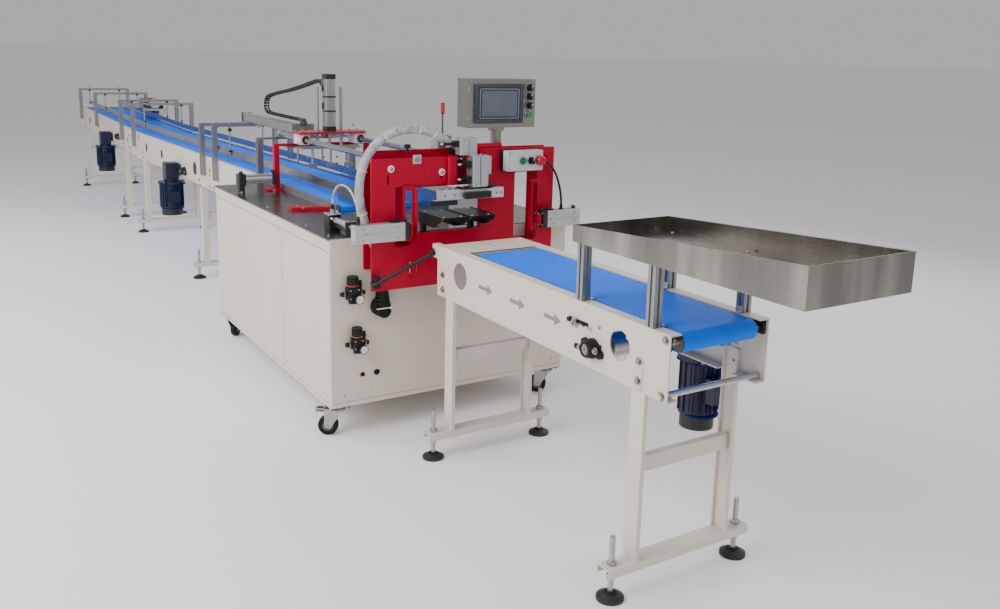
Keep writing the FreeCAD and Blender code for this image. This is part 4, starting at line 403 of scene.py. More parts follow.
banded("motorZones", (0.0015, 0.005, 0.032), [("z", 0, 0.391, (0.010, 0.010, 0.013), 0.42, 0.0)], 0.36)
banded("dividerZones", (0.50, 0.50, 0.50), [
    ("z", 0, 0.84, (0.62, 0.62, 0.62), 0.3, 0.85),
    ("x", alongX(-6300), alongX(-6130), (0.075, 0.078, 0.085), 0.4, 0.2)], 0.36, 0.5)
banded("postZones", bare, [], 0.32, 0.85)

solidFinishes = {
    "creamPanel": ["cabinet_body"],
    "creamPaint": ["outfeed_side_plates", "leg_frames"],
    "laneZones": ["infeed_side_plates"],
    "footZones": ["levelling_feet"],
    "buttonZones": ["control_buttons"],
    "panelButtonZones": ["panel_controls"],
    "liftZones": ["lift_cylinder"],
    "carriageZones": ["carriage"],
    "clampZones": ["clamp_cylinders"],
    "stopZones": ["stop_cylinder"],
    "valveZones": ["valve_block"],
    "barZones": ["head_bar"],
    "cornerZones": ["corner_cylinder"],
    "pushZones": ["push_cylinder"],
    "motorZones": ["gearmotors"],
    "dividerZones": ["divider_unit"],
    "tableSteel": ["table_top"],
    "zincSteel": [f"castor_fork_{n}" for n in range(1, 5)] + ["rail_hangers", "belt_rollers", "hold_down"],
    "blackRubber": [f"castor_wheel_{n}" for n in range(1, 5)] + ["cable_boot"],
    "darkSteel": ["castor_plates"],
    "profileAluminium": ["infeed_posts", "tray_posts", "gantry_stand"],
    "guideSteel": ["guide_rails"],
    "groundSteel": ["gantry_rods", "push_rod"],
    "barrelAluminium": ["head_cylinder"],
    "crossAluminium": ["pusher"],
    "blackPlastic": ["cable_chain", "hose_manifold", "air_regulators", "flange_bearings"],
    "redPaint": ["table_brackets", "front_plate", "rear_plate", "left_clamp", "right_clamp"],
    "formerBlack": ["bag_former", "outfeed_stay"],
    "yellowPlastic": ["guard_strip"],
    "blueBelt": ["conveyor_belts"],
    "brushedTray": ["tray"],
    "brushedCase": ["panel_case"],
    "screenGlass": ["panel_screen"],
    "boxPlastic": ["control_box"],
}

for finishName, names in solidFinishes.items():
    for name in names:
        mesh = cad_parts[name].data
        mesh.materials.clear()
        mesh.materials.append(finishes[finishName])
print("solids finished")

# Building pieces, in millimetres from the machine's corner

toFrame = Matrix.Translation(corner) @ Matrix.Scale(0.001, 4)
slots = {
    "creamPaint": "cream_paint", "creamPanel": "cream_paint", "redPaint": "red_paint",
    "navyPaint": "navy_paint", "greyPaint": "grey_metal", "brushedTray": "stainless",
    "brushedCase": "stainless", "tableSteel": "stainless", "guideSteel": "stainless",
    "profileAluminium": "aluminium", "barAluminium": "aluminium", "crossAluminium": "aluminium",
    "barrelAluminium": "aluminium", "groundSteel": "chrome_rod", "zincSteel": "zinc",
    "darkSteel": "grey_metal", "brass": "zinc", "blackPlastic": "black_plastic",
    "blackRubber": "black_rubber", "formerBlack": "black_plastic", "greyPlastic": "grey_rubber",
    "whitePlastic": "grey_rubber", "boxPlastic": "grey_rubber", "bluePlastic": "blue_belt",
    "redPlastic": "red_paint", "greenPlastic": "black_plastic", "yellowPlastic": "yellow_plastic",
    "screenGlass": "screen", "boltSteel": "zinc", "bezelPlastic": "black_plastic", "hubPlastic": "black_plastic", "displayGlow": "screen",
    "seamShadow": "black_plastic", "arrowFilm": "grey_rubber", "blueBelt": "blue_belt", "clearHose": "clear_hose",
    "clearTube": "clear_hose",
}


def settle(thing, body, finish):  # give a finished object its look and its body
    thing.data.materials.clear()
    thing.data.materials.append(finishes[finish])
    if body:
        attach(thing, body)
    finish in slots
    return thing


class Shape:  # gathers closed forms into one mesh
    def __init__(self):
        self.mesh = bmesh.new()

    def block(self, x, y, z, soft=0.0, segments=2):
        corners = [self.mesh.verts.new((a, b, c)) for a in sorted(x) for b in sorted(y) for c in sorted(z)]
        faces = [(0, 1, 3, 2), (4, 6, 7, 5), (0, 4, 5, 1), (2, 3, 7, 6), (0, 2, 6, 4), (1, 5, 7, 3)]
        made = [self.mesh.faces.new([corners[i] for i in face]) for face in faces]
        if soft:
            edges = {edge for face in made for edge in face.edges}
            bmesh.ops.bevel(self.mesh, geom=list(edges), offset=soft, segments=segments,
                            profile=0.5, affect="EDGES", clamp_overlap=True)
        return self

    def lathe(self, start, towards, profile, sides=28, turn=0.0):
        # profile: (radius, distance along) from one end to the other
        start = Vector(start)
        ahead = (Vector(towards) - start).normalized()
        side = ahead.orthogonal().normalized()
        other = ahead.cross(side)
        rings = []
        for radius, along in profile:
            middle = start + ahead * along
            if radius <= 0:
                rings.append([self.mesh.verts.new(middle)])
                continue
            ring = []
            for k in range(sides):
                angle = turn + 2 * math.pi * k / sides
                ring.append(self.mesh.verts.new(middle + (side * math.cos(angle) + other * math.sin(angle)) * radius))
            rings.append(ring)
        for first, second in zip(rings, rings[1:]):
            for k in range(sides):
                following = (k + 1) % sides
                if len(first) == 1 and len(second) == 1:
                    continue
                if len(first) == 1:
                    self.mesh.faces.new((first[0], second[following], second[k]))
                elif len(second) == 1:
                    self.mesh.faces.new((first[k], first[following], second[0]))
                else:
                    self.mesh.faces.new((first[k], first[following], second[following], second[k]))
        for ring, flip in ((rings[0], True), (rings[-1], False)):
            if len(ring) > 1:
                self.mesh.faces.new(list(reversed(ring)) if flip else ring)
        return self

    def rod(self, start, end, radius, soft=None, sides=28):
        length = (Vector(end) - Vector(start)).length
        soft = min(radius, length) * 0.12 if soft is None else soft
        return self.lathe(start, end, [(radius - soft, 0), (radius, soft), (radius, length - soft),
                                       (radius - soft, length)], sides)

    def ring(self, start, towards, outer, inner, depth, soft=0.6, sides=32):
        start = Vector(start)
        ahead = (Vector(towards) - start).normalized()
        profile = [(inner, 0), (outer - soft, 0), (outer, soft), (outer, depth - soft), (outer - soft, depth),
                   (inner, depth)]
        side = ahead.orthogonal().normalized()
        other = ahead.cross(side)
        rings = [[self.mesh.verts.new(start + ahead * along + (side * math.cos(a) + other * math.sin(a)) * radius)
                  for a in (2 * math.pi * k / sides for k in range(sides))] for radius, along in profile]
        for first, second in zip(rings, rings[1:] + rings[:1]):
            for k in range(sides):
                following = (k + 1) % sides
                self.mesh.faces.new((first[k], first[following], second[following], second[k]))
        return self

    def outline(self, points, depth, soft=0.0):
        # a flat outline in 3-D pushed out by the vector depth
        depth = Vector(depth)
        lower = [self.mesh.verts.new(p) for p in points]
        upper = [self.mesh.verts.new(Vector(p) + depth) for p in points]
        count = len(points)
        made = [self.mesh.faces.new(lower), self.mesh.faces.new(list(reversed(upper)))]
        for k in range(count):
            following = (k + 1) % count
            made.append(self.mesh.faces.new((lower[following], lower[k], upper[k], upper[following])))
        if soft:
            bmesh.ops.bevel(self.mesh, geom=list({e for f in made[:2] for e in f.edges}), offset=soft, segments=2,
                            profile=0.5, affect="EDGES", clamp_overlap=True)
        return self

    def tube(self, points, radius, sides=14, closed=False):
        # a round bar through a list of points, with mitred corners
        points = [Vector(p) for p in points]
        count = len(points)
        rings = []
        side = None
        for k, point in enumerate(points):
            before = points[(k - 1) % count] if closed or k else point
            after = points[(k + 1) % count] if closed or k < count - 1 else point
            ahead = (after - before).normalized()
            side = ahead.orthogonal().normalized() if side is None else (side - ahead * side.dot(ahead)).normalized()
            other = ahead.cross(side)
            rings.append([self.mesh.verts.new(point + (side * math.cos(a) + other * math.sin(a)) * radius)
                          for a in (2 * math.pi * j / sides for j in range(sides))])
        pairs = list(zip(rings, rings[1:])) + ([(rings[-1], rings[0])] if closed else [])
        for first, second in pairs:
            for j in range(sides):
                following = (j + 1) % sides
                self.mesh.faces.new((first[j], first[following], second[following], second[j]))
        if not closed:
            self.mesh.faces.new(list(reversed(rings[0])))
            self.mesh.faces.new(rings[-1])
        return self

    def piece(self, name, body, finish, crisp=32):
        bmesh.ops.recalc_face_normals(self.mesh, faces=self.mesh.faces)
        mesh = bpy.data.meshes.new(name)
        self.mesh.transform(toFrame)
        self.mesh.to_mesh(mesh)
        self.mesh.free()
        mesh.polygons.foreach_set("use_smooth", [True] * len(mesh.polygons))
        mesh.set_sharp_from_angle(angle=math.radians(crisp))
        thing = bpy.data.objects.new(name, mesh)
        bpy.context.scene.collection.objects.link(thing)
        return settle(thing, body, finish)


# Fasteners and other repeats are set on points by one node tree


def repeatTree():
    tree = bpy.data.node_groups.new("repeatOnPoints", "GeometryNodeTree")
    face = tree.interface
    face.new_socket("Points", in_out="INPUT", socket_type="NodeSocketGeometry")
    face.new_socket("Pattern", in_out="INPUT", socket_type="NodeSocketObject")
    face.new_socket("Size", in_out="INPUT", socket_type="NodeSocketFloat")
    face.new_socket("Finish", in_out="INPUT", socket_type="NodeSocketMaterial")
    face.new_socket("Result", in_out="OUTPUT", socket_type="NodeSocketGeometry")
    entry = tree.nodes.new("NodeGroupInput")
    leave = tree.nodes.new("NodeGroupOutput")
    facing = tree.nodes.new("GeometryNodeInputNamedAttribute")
    facing.data_type = "FLOAT_VECTOR"
    facing.inputs["Name"].default_value = "facing"
    align = tree.nodes.new("FunctionNodeAlignRotationToVector")
    align.axis = "Z"
    spin = tree.nodes.new("GeometryNodeInputNamedAttribute")
    spin.data_type = "FLOAT"
    spin.inputs["Name"].default_value = "spin"
    twist = tree.nodes.new("FunctionNodeAxisAngleToRotation")
    turn = tree.nodes.new("FunctionNodeRotateRotation")
    turn.rotation_space = "LOCAL"
    source = tree.nodes.new("GeometryNodeObjectInfo")
    place = tree.nodes.new("GeometryNodeInstanceOnPoints")
    solid = tree.nodes.new("GeometryNodeRealizeInstances")
    coat = tree.nodes.new("GeometryNodeSetMaterial")
    join = tree.links.new
    join(entry.outputs["Points"], place.inputs["Points"])
    join(entry.outputs["Pattern"], source.inputs["Object"])
    join(source.outputs["Geometry"], place.inputs["Instance"])
    join(facing.outputs["Attribute"], align.inputs["Vector"])
    join(spin.outputs["Attribute"], twist.inputs["Angle"])
    join(align.outputs["Rotation"], turn.inputs["Rotation"])
    join(twist.outputs["Rotation"], turn.inputs["Rotate By"])
    join(turn.outputs["Rotation"], place.inputs["Rotation"])
    join(entry.outputs["Size"], place.inputs["Scale"])
    join(place.outputs["Instances"], solid.inputs["Geometry"])
    join(solid.outputs["Geometry"], coat.inputs["Geometry"])
    join(entry.outputs["Finish"], coat.inputs["Material"])
    join(coat.outputs["Geometry"], leave.inputs["Result"])
    return tree


repeats = repeatTree()
patterns = {}


def pattern(name, shape):  # a small form, one millimetre long a unit, kept out of the scene
    bmesh.ops.recalc_face_normals(shape.mesh, faces=shape.mesh.faces)
    mesh = bpy.data.meshes.new(name)
    shape.mesh.to_mesh(mesh)
    shape.mesh.free()
    mesh.polygons.foreach_set("use_smooth", [True] * len(mesh.polygons))
    mesh.set_sharp_from_angle(angle=math.radians(32))
    patterns[name] = bpy.data.objects.new(name, mesh)


def repeat(name, body, finish, kind, spots, size=1.0):
    # spots: (place, facing) or (place, facing, spin in degrees)
    mesh = bpy.data.meshes.new(name)
    mesh.from_pydata([at(*spot[0]) for spot in spots], [], [])
    facing = mesh.attributes.new("facing", "FLOAT_VECTOR", "POINT")
    facing.data.foreach_set("vector", [c for spot in spots for c in Vector(spot[1]).normalized()])
    spin = mesh.attributes.new("spin", "FLOAT", "POINT")
    spin.data.foreach_set("value", [math.radians(spot[2]) if len(spot) > 2 else 0.4 * k
                                    for k, spot in enumerate(spots)])
    seed = bpy.data.objects.new(name + "Points", mesh)
    bpy.context.scene.collection.objects.link(seed)
    modifier = seed.modifiers.new("repeat", "NODES")
    modifier.node_group = repeats
    keys = {item.name: item.identifier for item in repeats.interface.items_tree if item.in_out == "INPUT"}
    modifier[keys["Pattern"]] = patterns[kind]
    modifier[keys["Size"]] = size * 0.001
    modifier[keys["Finish"]] = finishes[finish]
    bpy.context.view_layer.update()
    ready = seed.evaluated_get(bpy.context.evaluated_depsgraph_get())
    solid = bpy.data.meshes.new_from_object(ready)
    thing = bpy.data.objects.new(name, solid)
    bpy.context.scene.collection.objects.link(thing)
    seed.modifiers.clear()
    bpy.data.objects.remove(seed)
    return settle(thing, body, finish)


def hexProfile(shape, across, low, high, soft=0.4):
    # a hexagon across its flats, with a rounded crown
    radius = across / 2 / math.cos(math.pi / 6)
    shape.lathe((0, 0, 0), (0, 0, 1), [(radius, low), (radius, high - soft), (radius * 0.93, high)], 6)


def makePatterns():
    cap = Shape()  # socket head screw, 10 across, with its washer and recess
    cap.lathe((0, 0, 0), (0, 0, 1), [(7.5, 0), (7.5, 1.2), (7.2, 1.5), (5, 1.5), (5, 5.4), (4.4, 6.2), (2.7, 6.2),
                                     (2.5, 3.2), (0, 3.0)], 14)
    pattern("capScrew", cap)
    button = Shape()  # dome head, 9 across
    button.lathe((0, 0, 0), (0, 0, 1), [(4.6, 0), (4.5, 0.9), (3.6, 2.2), (2.2, 2.9), (1.7, 2.9), (1.5, 1.3),
                                        (0, 1.2)], 12)
    pattern("domeScrew", button)
    rivet = Shape()
    rivet.lathe((0, 0, 0), (0, 0, 1), [(3, 0), (2.8, 0.6), (1.6, 1.3), (0, 1.5)], 10)
    pattern("rivet", rivet)
    hexed = Shape()  # hexagon bolt with washer, 13 across the flats
    hexed.lathe((0, 0, 0), (0, 0, 1), [(11.5, 0), (11.5, 1.4), (11.1, 1.8), (0, 1.8)], 18)
    hexProfile(hexed, 13, 1.8, 7.6)
    pattern("hexBolt", hexed)
    nut = Shape()  # nut with the screw's end through it
    nut.lathe((0, 0, 0), (0, 0, 1), [(11.5, 0), (11.5, 1.4), (11.1, 1.8), (0, 1.8)], 18)
    hexProfile(nut, 13, 1.8, 8.2)
    nut.lathe((0, 0, 0), (0, 0, 1), [(3.9, 8.0), (3.9, 11.6), (3.3, 12.3), (0, 12.3)], 12)
    pattern("hexNut", nut)
    plain = Shape()  # bare nut, 24 across, for the foot studs
    hexProfile(plain, 24, 0, 13, 1.2)
    pattern("studNut", plain)
    thread = Shape()  # one turn of a screw thread on a 16 mm stud
    thread.lathe((0, 0, 0), (0, 0, 1), [(7.9, 0), (8.35, 0.45), (8.35, 0.75), (7.9, 1.2)], 14)
    pattern("threadTurn", thread)
    knurl = Shape()
    knurl.block((-0.5, 0.5), (-0.5, 0.5), (0, 8), 0.2, 1)
    pattern("rib", knurl)
    fitting = Shape()  # push-in air fitting, 10 across
    hexProfile(fitting, 9.5, 0, 4.5)
    fitting.lathe((0, 0, 0), (0, 0, 1), [(4.6, 4.2), (4.6, 10.5), (5.1, 10.9), (5.1, 12.6), (4.4, 13.2),
                                         (2.2, 13.2), (2.1, 11), (0, 11)], 14)
    pattern("airFitting", fitting)
    link = Shape()  # one link of the cable chain, its length along z
    for side in (-1, 1):
        link.block((-7.6, 7.6), (side * 10.5, side * 13.6), (-1.5, 17.5), 0.8, 1)
        link.block((-4.5, 4.5), (side * 13.4, side * 13.9), (5, 11), 0)
        link.block((side * 6.2, side * 7.6), (-10.6, 10.6), (3, 12), 0.4, 1)
    pattern("chainLink", link)
    fin = Shape()  # cooling fin, standing out along x
    fin.block((-3, 4.6), (-1.1, 1.1), (0, 148), 0.5, 1)
    pattern("motorFin", fin)


makePatterns()
print("patterns:", len(patterns))


# Cords first

cords = {
    "hoseBundle": {
        "node": "hose_bundle", "diameter": 0.034, "length": 0.966, "stiffness": "medium", "finish": "clearHose",
        "points": [(36, 205, 600.3), (36, 205, 662), (36, 183, 736), (36, 147, 814), (36, 118, 892),
                   (36, 105, 976), (36, 116, 1058), (36, 151, 1130), (36, 209, 1181), (36, 283, 1207),
                   (36, 357, 1206), (37, 423, 1188), (39, 475, 1156), (42, 515, 1116)],
    },
    "controlCable": {
        "node": "control_cable", "diameter": 0.009, "length": 0.261, "stiffness": "medium",
        "finish": "blackPlastic",
        "points": [(109, 862.3, 1072), (109, 888.3, 1072), (110, 916.3, 1058), (111, 941.3, 1029),
                   (113, 959.3, 988), (115, 971.3, 944), (116.5, 976.3, 904), (116.5, 976.3, 868.3)],
    },
    "airTube": {
        "node": "air_tube", "diameter": 0.008, "length": 0.447, "stiffness": "medium", "finish": "clearTube",
        "points": [(-205, 98, 878.3), (-205, 98, 904.3), (-193, 97, 932.3), (-169, 95, 958.3),
                   (-135, 91, 977.3), (-93, 86, 989.3), (-40.5, 82, 993.3), (4.5, 76, 991.3),
                   (46.5, 72, 981.3), (80.5, 70, 962.3), (104.5, 69, 936.3), (116.5, 69, 908.3),
                   (116.5, 69, 880.3)],
    },
}


def cordCurve(name, points, radius):
    data = bpy.data.curves.new(name, "CURVE")
    data.dimensions = "3D"
    data.bevel_depth = radius
    data.bevel_resolution = 5
    data.use_fill_caps = True
    data.resolution_u = 12
    spline = data.splines.new("NURBS")
    spline.points.add(len(points) - 1)
    for spot, point in zip(spline.points, points):
        spot.co = (*at(*point), 1.0)
    spline.order_u = 3
    spline.use_endpoint_u = True
    curve = bpy.data.objects.new(name, data)
    bpy.context.scene.collection.objects.link(curve)
    return curve


def makeCords():
    for name, facts in cords.items():
        curve = cordCurve(name, facts["points"], facts["diameter"] / 2)
        settle(curve, "machine", facts["finish"])
        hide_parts(facts["node"])
        at(*facts["points"][0])


makeCords()
print("cords:", len(cords))

# Outfeed conveyor and tray

outfeed = {
    "start": 240, "end": 1511, "left": 332, "right": 698, "top": 794, "low": 607,
    "sheet": 4, "legs": (328, 1392), "drive": (1194, 671), "tie": (1489, 623),
}


def dressOutfeed():
    left, right = outfeed["left"], outfeed["right"]
    front, back = (0, -1, 0), (0, 1, 0)
    bolts = []
    for y, out, inner in ((left, front, left + 4), (right, back, right - 4)):
        for x in outfeed["legs"]:
            for z in (692, 637):
                bolts.append(((x + (-40 if x < 400 else 4), y + 2.2 * out[1], z), out))
        bolts.append(((1494, y, 778), out))
    repeat("outfeedBolts", "machine", "boltSteel", "hexBolt", bolts, 1.05)
    ends = [((outfeed["tie"][0], left - 0.2, outfeed["tie"][1]), front), ((outfeed["tie"][0], right + 0.2,
                                                                           outfeed["tie"][1]), back)]
    repeat("tieRodBolts", "machine", "boltSteel", "hexBolt", ends, 1.15)
    inner = [((1396, right - 4, z), front) for z in (692, 637)] + [((1396, left + 4, z), back) for z in (692, 637)]
    inner += [((1480, right - 4, 752), front), ((1480, left + 4, 752), back)]
    repeat("outfeedNuts", "machine", "zincSteel", "hexNut", inner, 0.8)
    x, z = outfeed["drive"]
    heads = [((x + dx, left - 22, z + dz), front) for dx, dz in ((-36, -4), (36, 4))]
    repeat("driveBearingBolts", "machine", "boltSteel", "hexBolt", heads, 0.95)
    bearing = Shape()  # raised housing with a rubber shield and the shaft's end
    bearing.lathe((x, left - 22, z), (x, left - 40, z), [(27, 0), (26, 6), (23, 11), (18.5, 12.5), (18.5, 9.5),
                                                         (13, 9.5)], 36)
    bearing.piece("driveBearingHousing", "machine", "blackPlastic")
    shaft = Shape()
    shaft.lathe((x, left - 26, z), (x, left - 45, z), [(12.5, 0), (12.5, 6.5), (11.8, 7.6), (4, 7.6), (3.2, 5.6),
                                                       (0, 5.2)], 28)
    shaft.ring((x, left - 29, z), (x, left - 40, z), 16.5, 13.4, 2.6)
    shaft.piece("driveShaftEnd", "machine", "boltSteel")
    nipple = Shape()
    nipple.rod((x - 58, left - 1, z - 7), (x - 58, left - 15, z - 7), 5.5)
    nipple.lathe((x - 58, left - 15, z - 7), (x - 58, left - 30, z - 7), [(8, 0), (9, 2), (9, 6), (6, 8), (0, 8.5)], 16)
    nipple.piece("bearingGuardKnob", "machine", "blackPlastic")

    slot = Shape()  # belt tensioner: black bar in its slot with a clamp block
    slot.block((1078, 1166), (left - 1.6, left + 3), (725, 736), 1.2)
    slot.rod((1082, left - 1, 731), (1082, left - 13, 731), 8)
    slot.rod((1125, left - 1, 731), (1158, left - 9, 728), 3.4)
    slot.piece("tensionerBar", "machine", "blackPlastic")
    block = Shape()
    block.block((1099, 1117), (left - 12, left - 1), (715, 741), 2)
    block.rod((1104, left - 12, 722), (1104, left - 17, 722), 5.2, sides=6)
    block.rod((1160, left - 7, 728), (1184, left - 7, 724), 2.6)
    block.piece("tensionerBlock", "machine", "zincSteel")
    repeat("tensionerBolts", "machine", "zincSteel", "hexBolt",
           [((1108, left - 12, 734), front), ((1216, left, 738), front)], 0.62)

    arrows = Shape()  # direction arrows, thin film on the plate
    for x in (594, 794, 992):
        y, z = left - 0.45, 706
        points = [(x - 52, y, z - 7), (x + 4, y, z - 7), (x + 4, y, z - 19), (x + 38, y, z), (x + 4, y, z + 19),
                  (x + 4, y, z + 7), (x - 52, y, z + 7)]
        arrows.outline(points, (0, 0.45, 0))
    arrows.piece("directionArrows", "machine", "arrowFilm")

    gaps = Shape()  # dark joints round the cover and the belt's start
    gaps.block((240, 403), (514.2, 515.8), (793.6, 794.25))
    wave = [(404.5, 372), (409, 398), (406, 430), (410.5, 470), (407, 515), (410, 560), (406.5, 610), (409, 648)]
    for (x0, y0), (x1, y1) in zip(wave, wave[1:]):
        gaps.outline([(x0, y0, 792.6), (x0 + 9, y0, 793.2), (x1 + 9, y1, 793.2), (x1, y1, 792.6)], (0, 0, 0.8))
    gaps.block((404, 460), (371, 381.5), (788, 792.8), 0.6)
    gaps.piece("coverJoints", "machine", "blackRubber")

    bed = Shape()  # sheet bed under the belt, cross bars and the nose blocks
    bed.block((430, 1450), (362, 668), (757, 760), 0.8)
    for x in (520, 820, 1330):
        bed.block((x, x + 30), (left + 4, right - 4), (735, 757), 2)
    bed.piece("outfeedBed", "machine", "creamPaint")
    noses = Shape()
    for side, y in ((1, left + 4), (-1, right - 4)):
        noses.block((1448, 1504), (y, y + side * 12), (746, 786), 2)
        noses.rod((1486, y + side * 12, 764), (1486, y + side * 15.6, 764), 13)
    noses.piece("noseBlocks", "machine", "blackPlastic")
    tie = Shape()  # bright sleeve of the tie rod
    tie.rod((outfeed["tie"][0], left + 4.5, outfeed["tie"][1]), (outfeed["tie"][0], right - 4.5, outfeed["tie"][1]), 8.6, 0.5, 28)
    tie.piece("tieSleeve", "machine", "groundSteel")
    screws = [((1486, y, 764), d) for y, d in ((left + 17.4, back), (right - 17.4, front))]
    repeat("noseScrews", "machine", "whitePlastic", "domeScrew", screws, 1.3)
    guides = Shape()
    for y in (565, 590):
        guides.lathe((1462, y, 729), (1462, y + 10, 729), [(4, 0), (11, 2), (11, 8), (4, 10)], 20)
    guides.block((1452, 1480), (571, 588), (731, 736), 1.5)
    guides.piece("returnGuides", "machine", "bluePlastic")

    plates = Shape()  # rounded ears where the legs are bolted on
    for y, out in ((left, -1), (right, 1)):
        for x in outfeed["legs"]:
            middle = x + (-40 if x < 400 else 4)
            ear = [(middle + 16 * math.cos(a), y, 692 + 16 * math.sin(a))
                   for a in (math.pi * k / 10 for k in range(11))]
            ear += [(middle - 16, y, outfeed["low"] + 4), (middle + 16, y, outfeed["low"] + 4)]
            plates.outline(ear, (0, out * 2.2, 0), 0.6)
    plates.piece("legEars", "machine", "creamPaint")


dressOutfeed()

tray = {"x": (1076, 1927), "y": (328, 702), "z": (964, 1065), "farTop": 1013}


def dressTray():
    (x0, x1), (y0, y1), (z0, z1) = tray["x"], tray["y"], tray["z"]
    low = tray["farTop"]
    welds = Shape()  # bright ground seams up the corners
    for x, top in ((x0 + 1.2, low), (x1 - 1.8, z1)):
        for y in (y0 + 1.2, y1 - 1.2):
            welds.rod((x, y, z0 + 1), (x, y, top - 0.5), 1.5, 0.3, 10)
    welds.piece("trayWelds", "machine", "guideSteel")
    hems = Shape()  # top edge folded back on itself
    hems.tube([(x0 + 1.4, y0 + 1.4, low - 1.2), (x1 - 1.8, y0 + 1.4, z1 - 1.4), (x1 - 1.8, y1 - 1.4, z1 - 1.4),
               (x0 + 1.4, y1 - 1.4, low - 1.2)], 1.5, 10, True)
    hems.piece("trayHems", "machine", "brushedTray")
    screws = [((px, py, z0 + 3.2), (0, 0, 1)) for px in (1114, 1425) for py in (347, 683)]
    repeat("trayScrews", "machine", "zincSteel", "domeScrew", screws, 1.1)
    marks = [((1560, y0, 1010), (0, -1, 0)), ((1596, y0, 1000), (0, -1, 0)), ((1700, y1, 1012), (0, 1, 0))]
    repeat("trayRivets", "machine", "brushedTray", "rivet", marks, 0.8)
    feet = Shape()  # corner brackets that hold the posts
    for px in (1114, 1425):
        for py, out in ((347, 1), (683, -1)):
            feet.block((px - 13, px + 13), (py + out * 15.4, py + out * 33), (794.4, 797.4), 0.8)
            feet.block((px - 13, px + 13), (py + out * 15.4, py + out * 18.4), (794.4, 812), 0.8)
    feet.piece("postBrackets", "machine", "barAluminium")


dressTray()
print("outfeed and tray")

# Legs: threaded studs, nuts and rubber foot rims

legs = {
    "feet": [(-2870, 229), (-2870, 721), (-4630, 229), (-4630, 721), (-5410, 229), (-5410, 721),
             (-7520, 229), (-7520, 721), (328, 275), (328, 755), (1392, 275), (1392, 755)],
    "pitch": 2.6, "farPitch": 4.4, "studLow": 26, "barLow": 76, "barTop": 104, "studTop": 188,
}


def dressLegs():
    turns, nuts = [], []
    for x, y in legs["feet"]:
        pitch = legs["pitch"] if x > 0 else legs["farPitch"]
        for low, high in ((legs["studLow"] + 10, legs["barLow"] - 15), (legs["barTop"] + 14, legs["studTop"])):
            for k in range(int((high - low) / pitch)):
                turns.append(((x, y, low + k * pitch), (0, 0, 1)))
        nuts.append(((x, y, legs["barTop"] + 0.2), (0, 0, 1), 12))
        nuts.append(((x, y, legs["barLow"] - 13.4), (0, 0, 1), 40))
    repeat("studThreads", "machine", "zincSteel", "threadTurn", turns)
    repeat("studNuts", "machine", "zincSteel", "studNut", nuts, 1.02)
    pads = Shape()  # moulded rim and grip ring of each rubber foot
    for x, y in legs["feet"]:
        pads.ring((x, y, 1.2), (x, y, 40), 40.0, 37.0, 5.5, 1.4, 32)
        pads.lathe((x, y, 14), (x, y, 40), [(23, 0), (22, 4), (17, 8), (12, 9.5), (12, 2)], 28)
    pads.piece("footRims", "machine", "blackRubber")


dressLegs()
print("legs")

# Cabinet: panel seams, screws, grommets, castors

cabinet = {
    "length": 1541, "width": 1093, "low": 128, "high": 797, "seamDrop": 48, "seam": -533,
    "screws": (-1487, -572, -494, -30), "castors": {1: (-48, 48, 60), 2: (-48, 1045, 50),
                                                      3: (-1493, 48, -43), 4: (-1493, 1045, 0)},
}


def dressCabinet():
    near, far = 0, cabinet["width"]
    lines = Shape()
    seamZ = cabinet["high"] - cabinet["seamDrop"]
    for y, out in ((near, -1), (far, 1)):
        edge = (y, y + out * 0.35)
        lines.block((-cabinet["length"] + 8, -8), edge, (seamZ - 1.1, seamZ + 0.4))
        lines.block((-cabinet["length"] + 8, -8), edge, (cabinet["low"] + 18, cabinet["low"] + 19.2))
        lines.block((cabinet["seam"] - 0.7, cabinet["seam"] + 0.7), edge, (cabinet["low"] + 19, seamZ))
    for x in (0, -cabinet["length"]):
        edge = (x, x + (0.35 if x == 0 else -0.35))
        lines.block(edge, (10, far - 10), (cabinet["low"] + 18, cabinet["low"] + 19.2))
    lines.piece("panelSeams", "machine", "seamShadow")
    heads = [((x, y, z), (0, out, 0)) for y, out in ((near, -1), (far, 1)) for x in cabinet["screws"]
             for z in (737, 176)]
    heads += [((-cabinet["length"], y, z), (-1, 0, 0)) for y in (40, 1053) for z in (737, 176)]
    heads += [((0, y, 176), (1, 0, 0)) for y in (56, 1037)]
    repeat("panelScrews", "machine", "zincSteel", "domeScrew", heads, 0.95)
    rings = Shape()
    for y, radius in ((134, 9), (194, 12)):
        rings.ring((0, y, 250), (9, y, 250), radius, radius * 0.62, 3.2, 1.2, 28)
        rings.lathe((0.1, y, 250), (9, y, 250), [(radius * 0.66, 0), (radius * 0.66, 0.6), (0, 0.6)], 24)
    rings.piece("cableGrommets", "machine", "blackRubber")
    edge = Shape()  # dark folded rim of the steel top
    for y in (-3.2, 1096.2):
        edge.block((-1546, -2), (y - 1.2, y + 1.2), (794.5, 797.2), 0.5)
    edge.block((-1.4, -0.2), (-4, 1097), (795.6, 797.2))
    edge.piece("topRim", "machine", "darkSteel")


def castorFrame(number):
    x, y, heading = cabinet["castors"][number]
    angle = math.radians(heading)
    ahead = Vector((math.cos(angle), math.sin(angle), 0))
    side = Vector((-math.sin(angle), math.cos(angle), 0))

    def spot(forward, sideways, z):
        return Vector((x, y, z)) + ahead * forward + side * sideways
    return spot, ahead, side


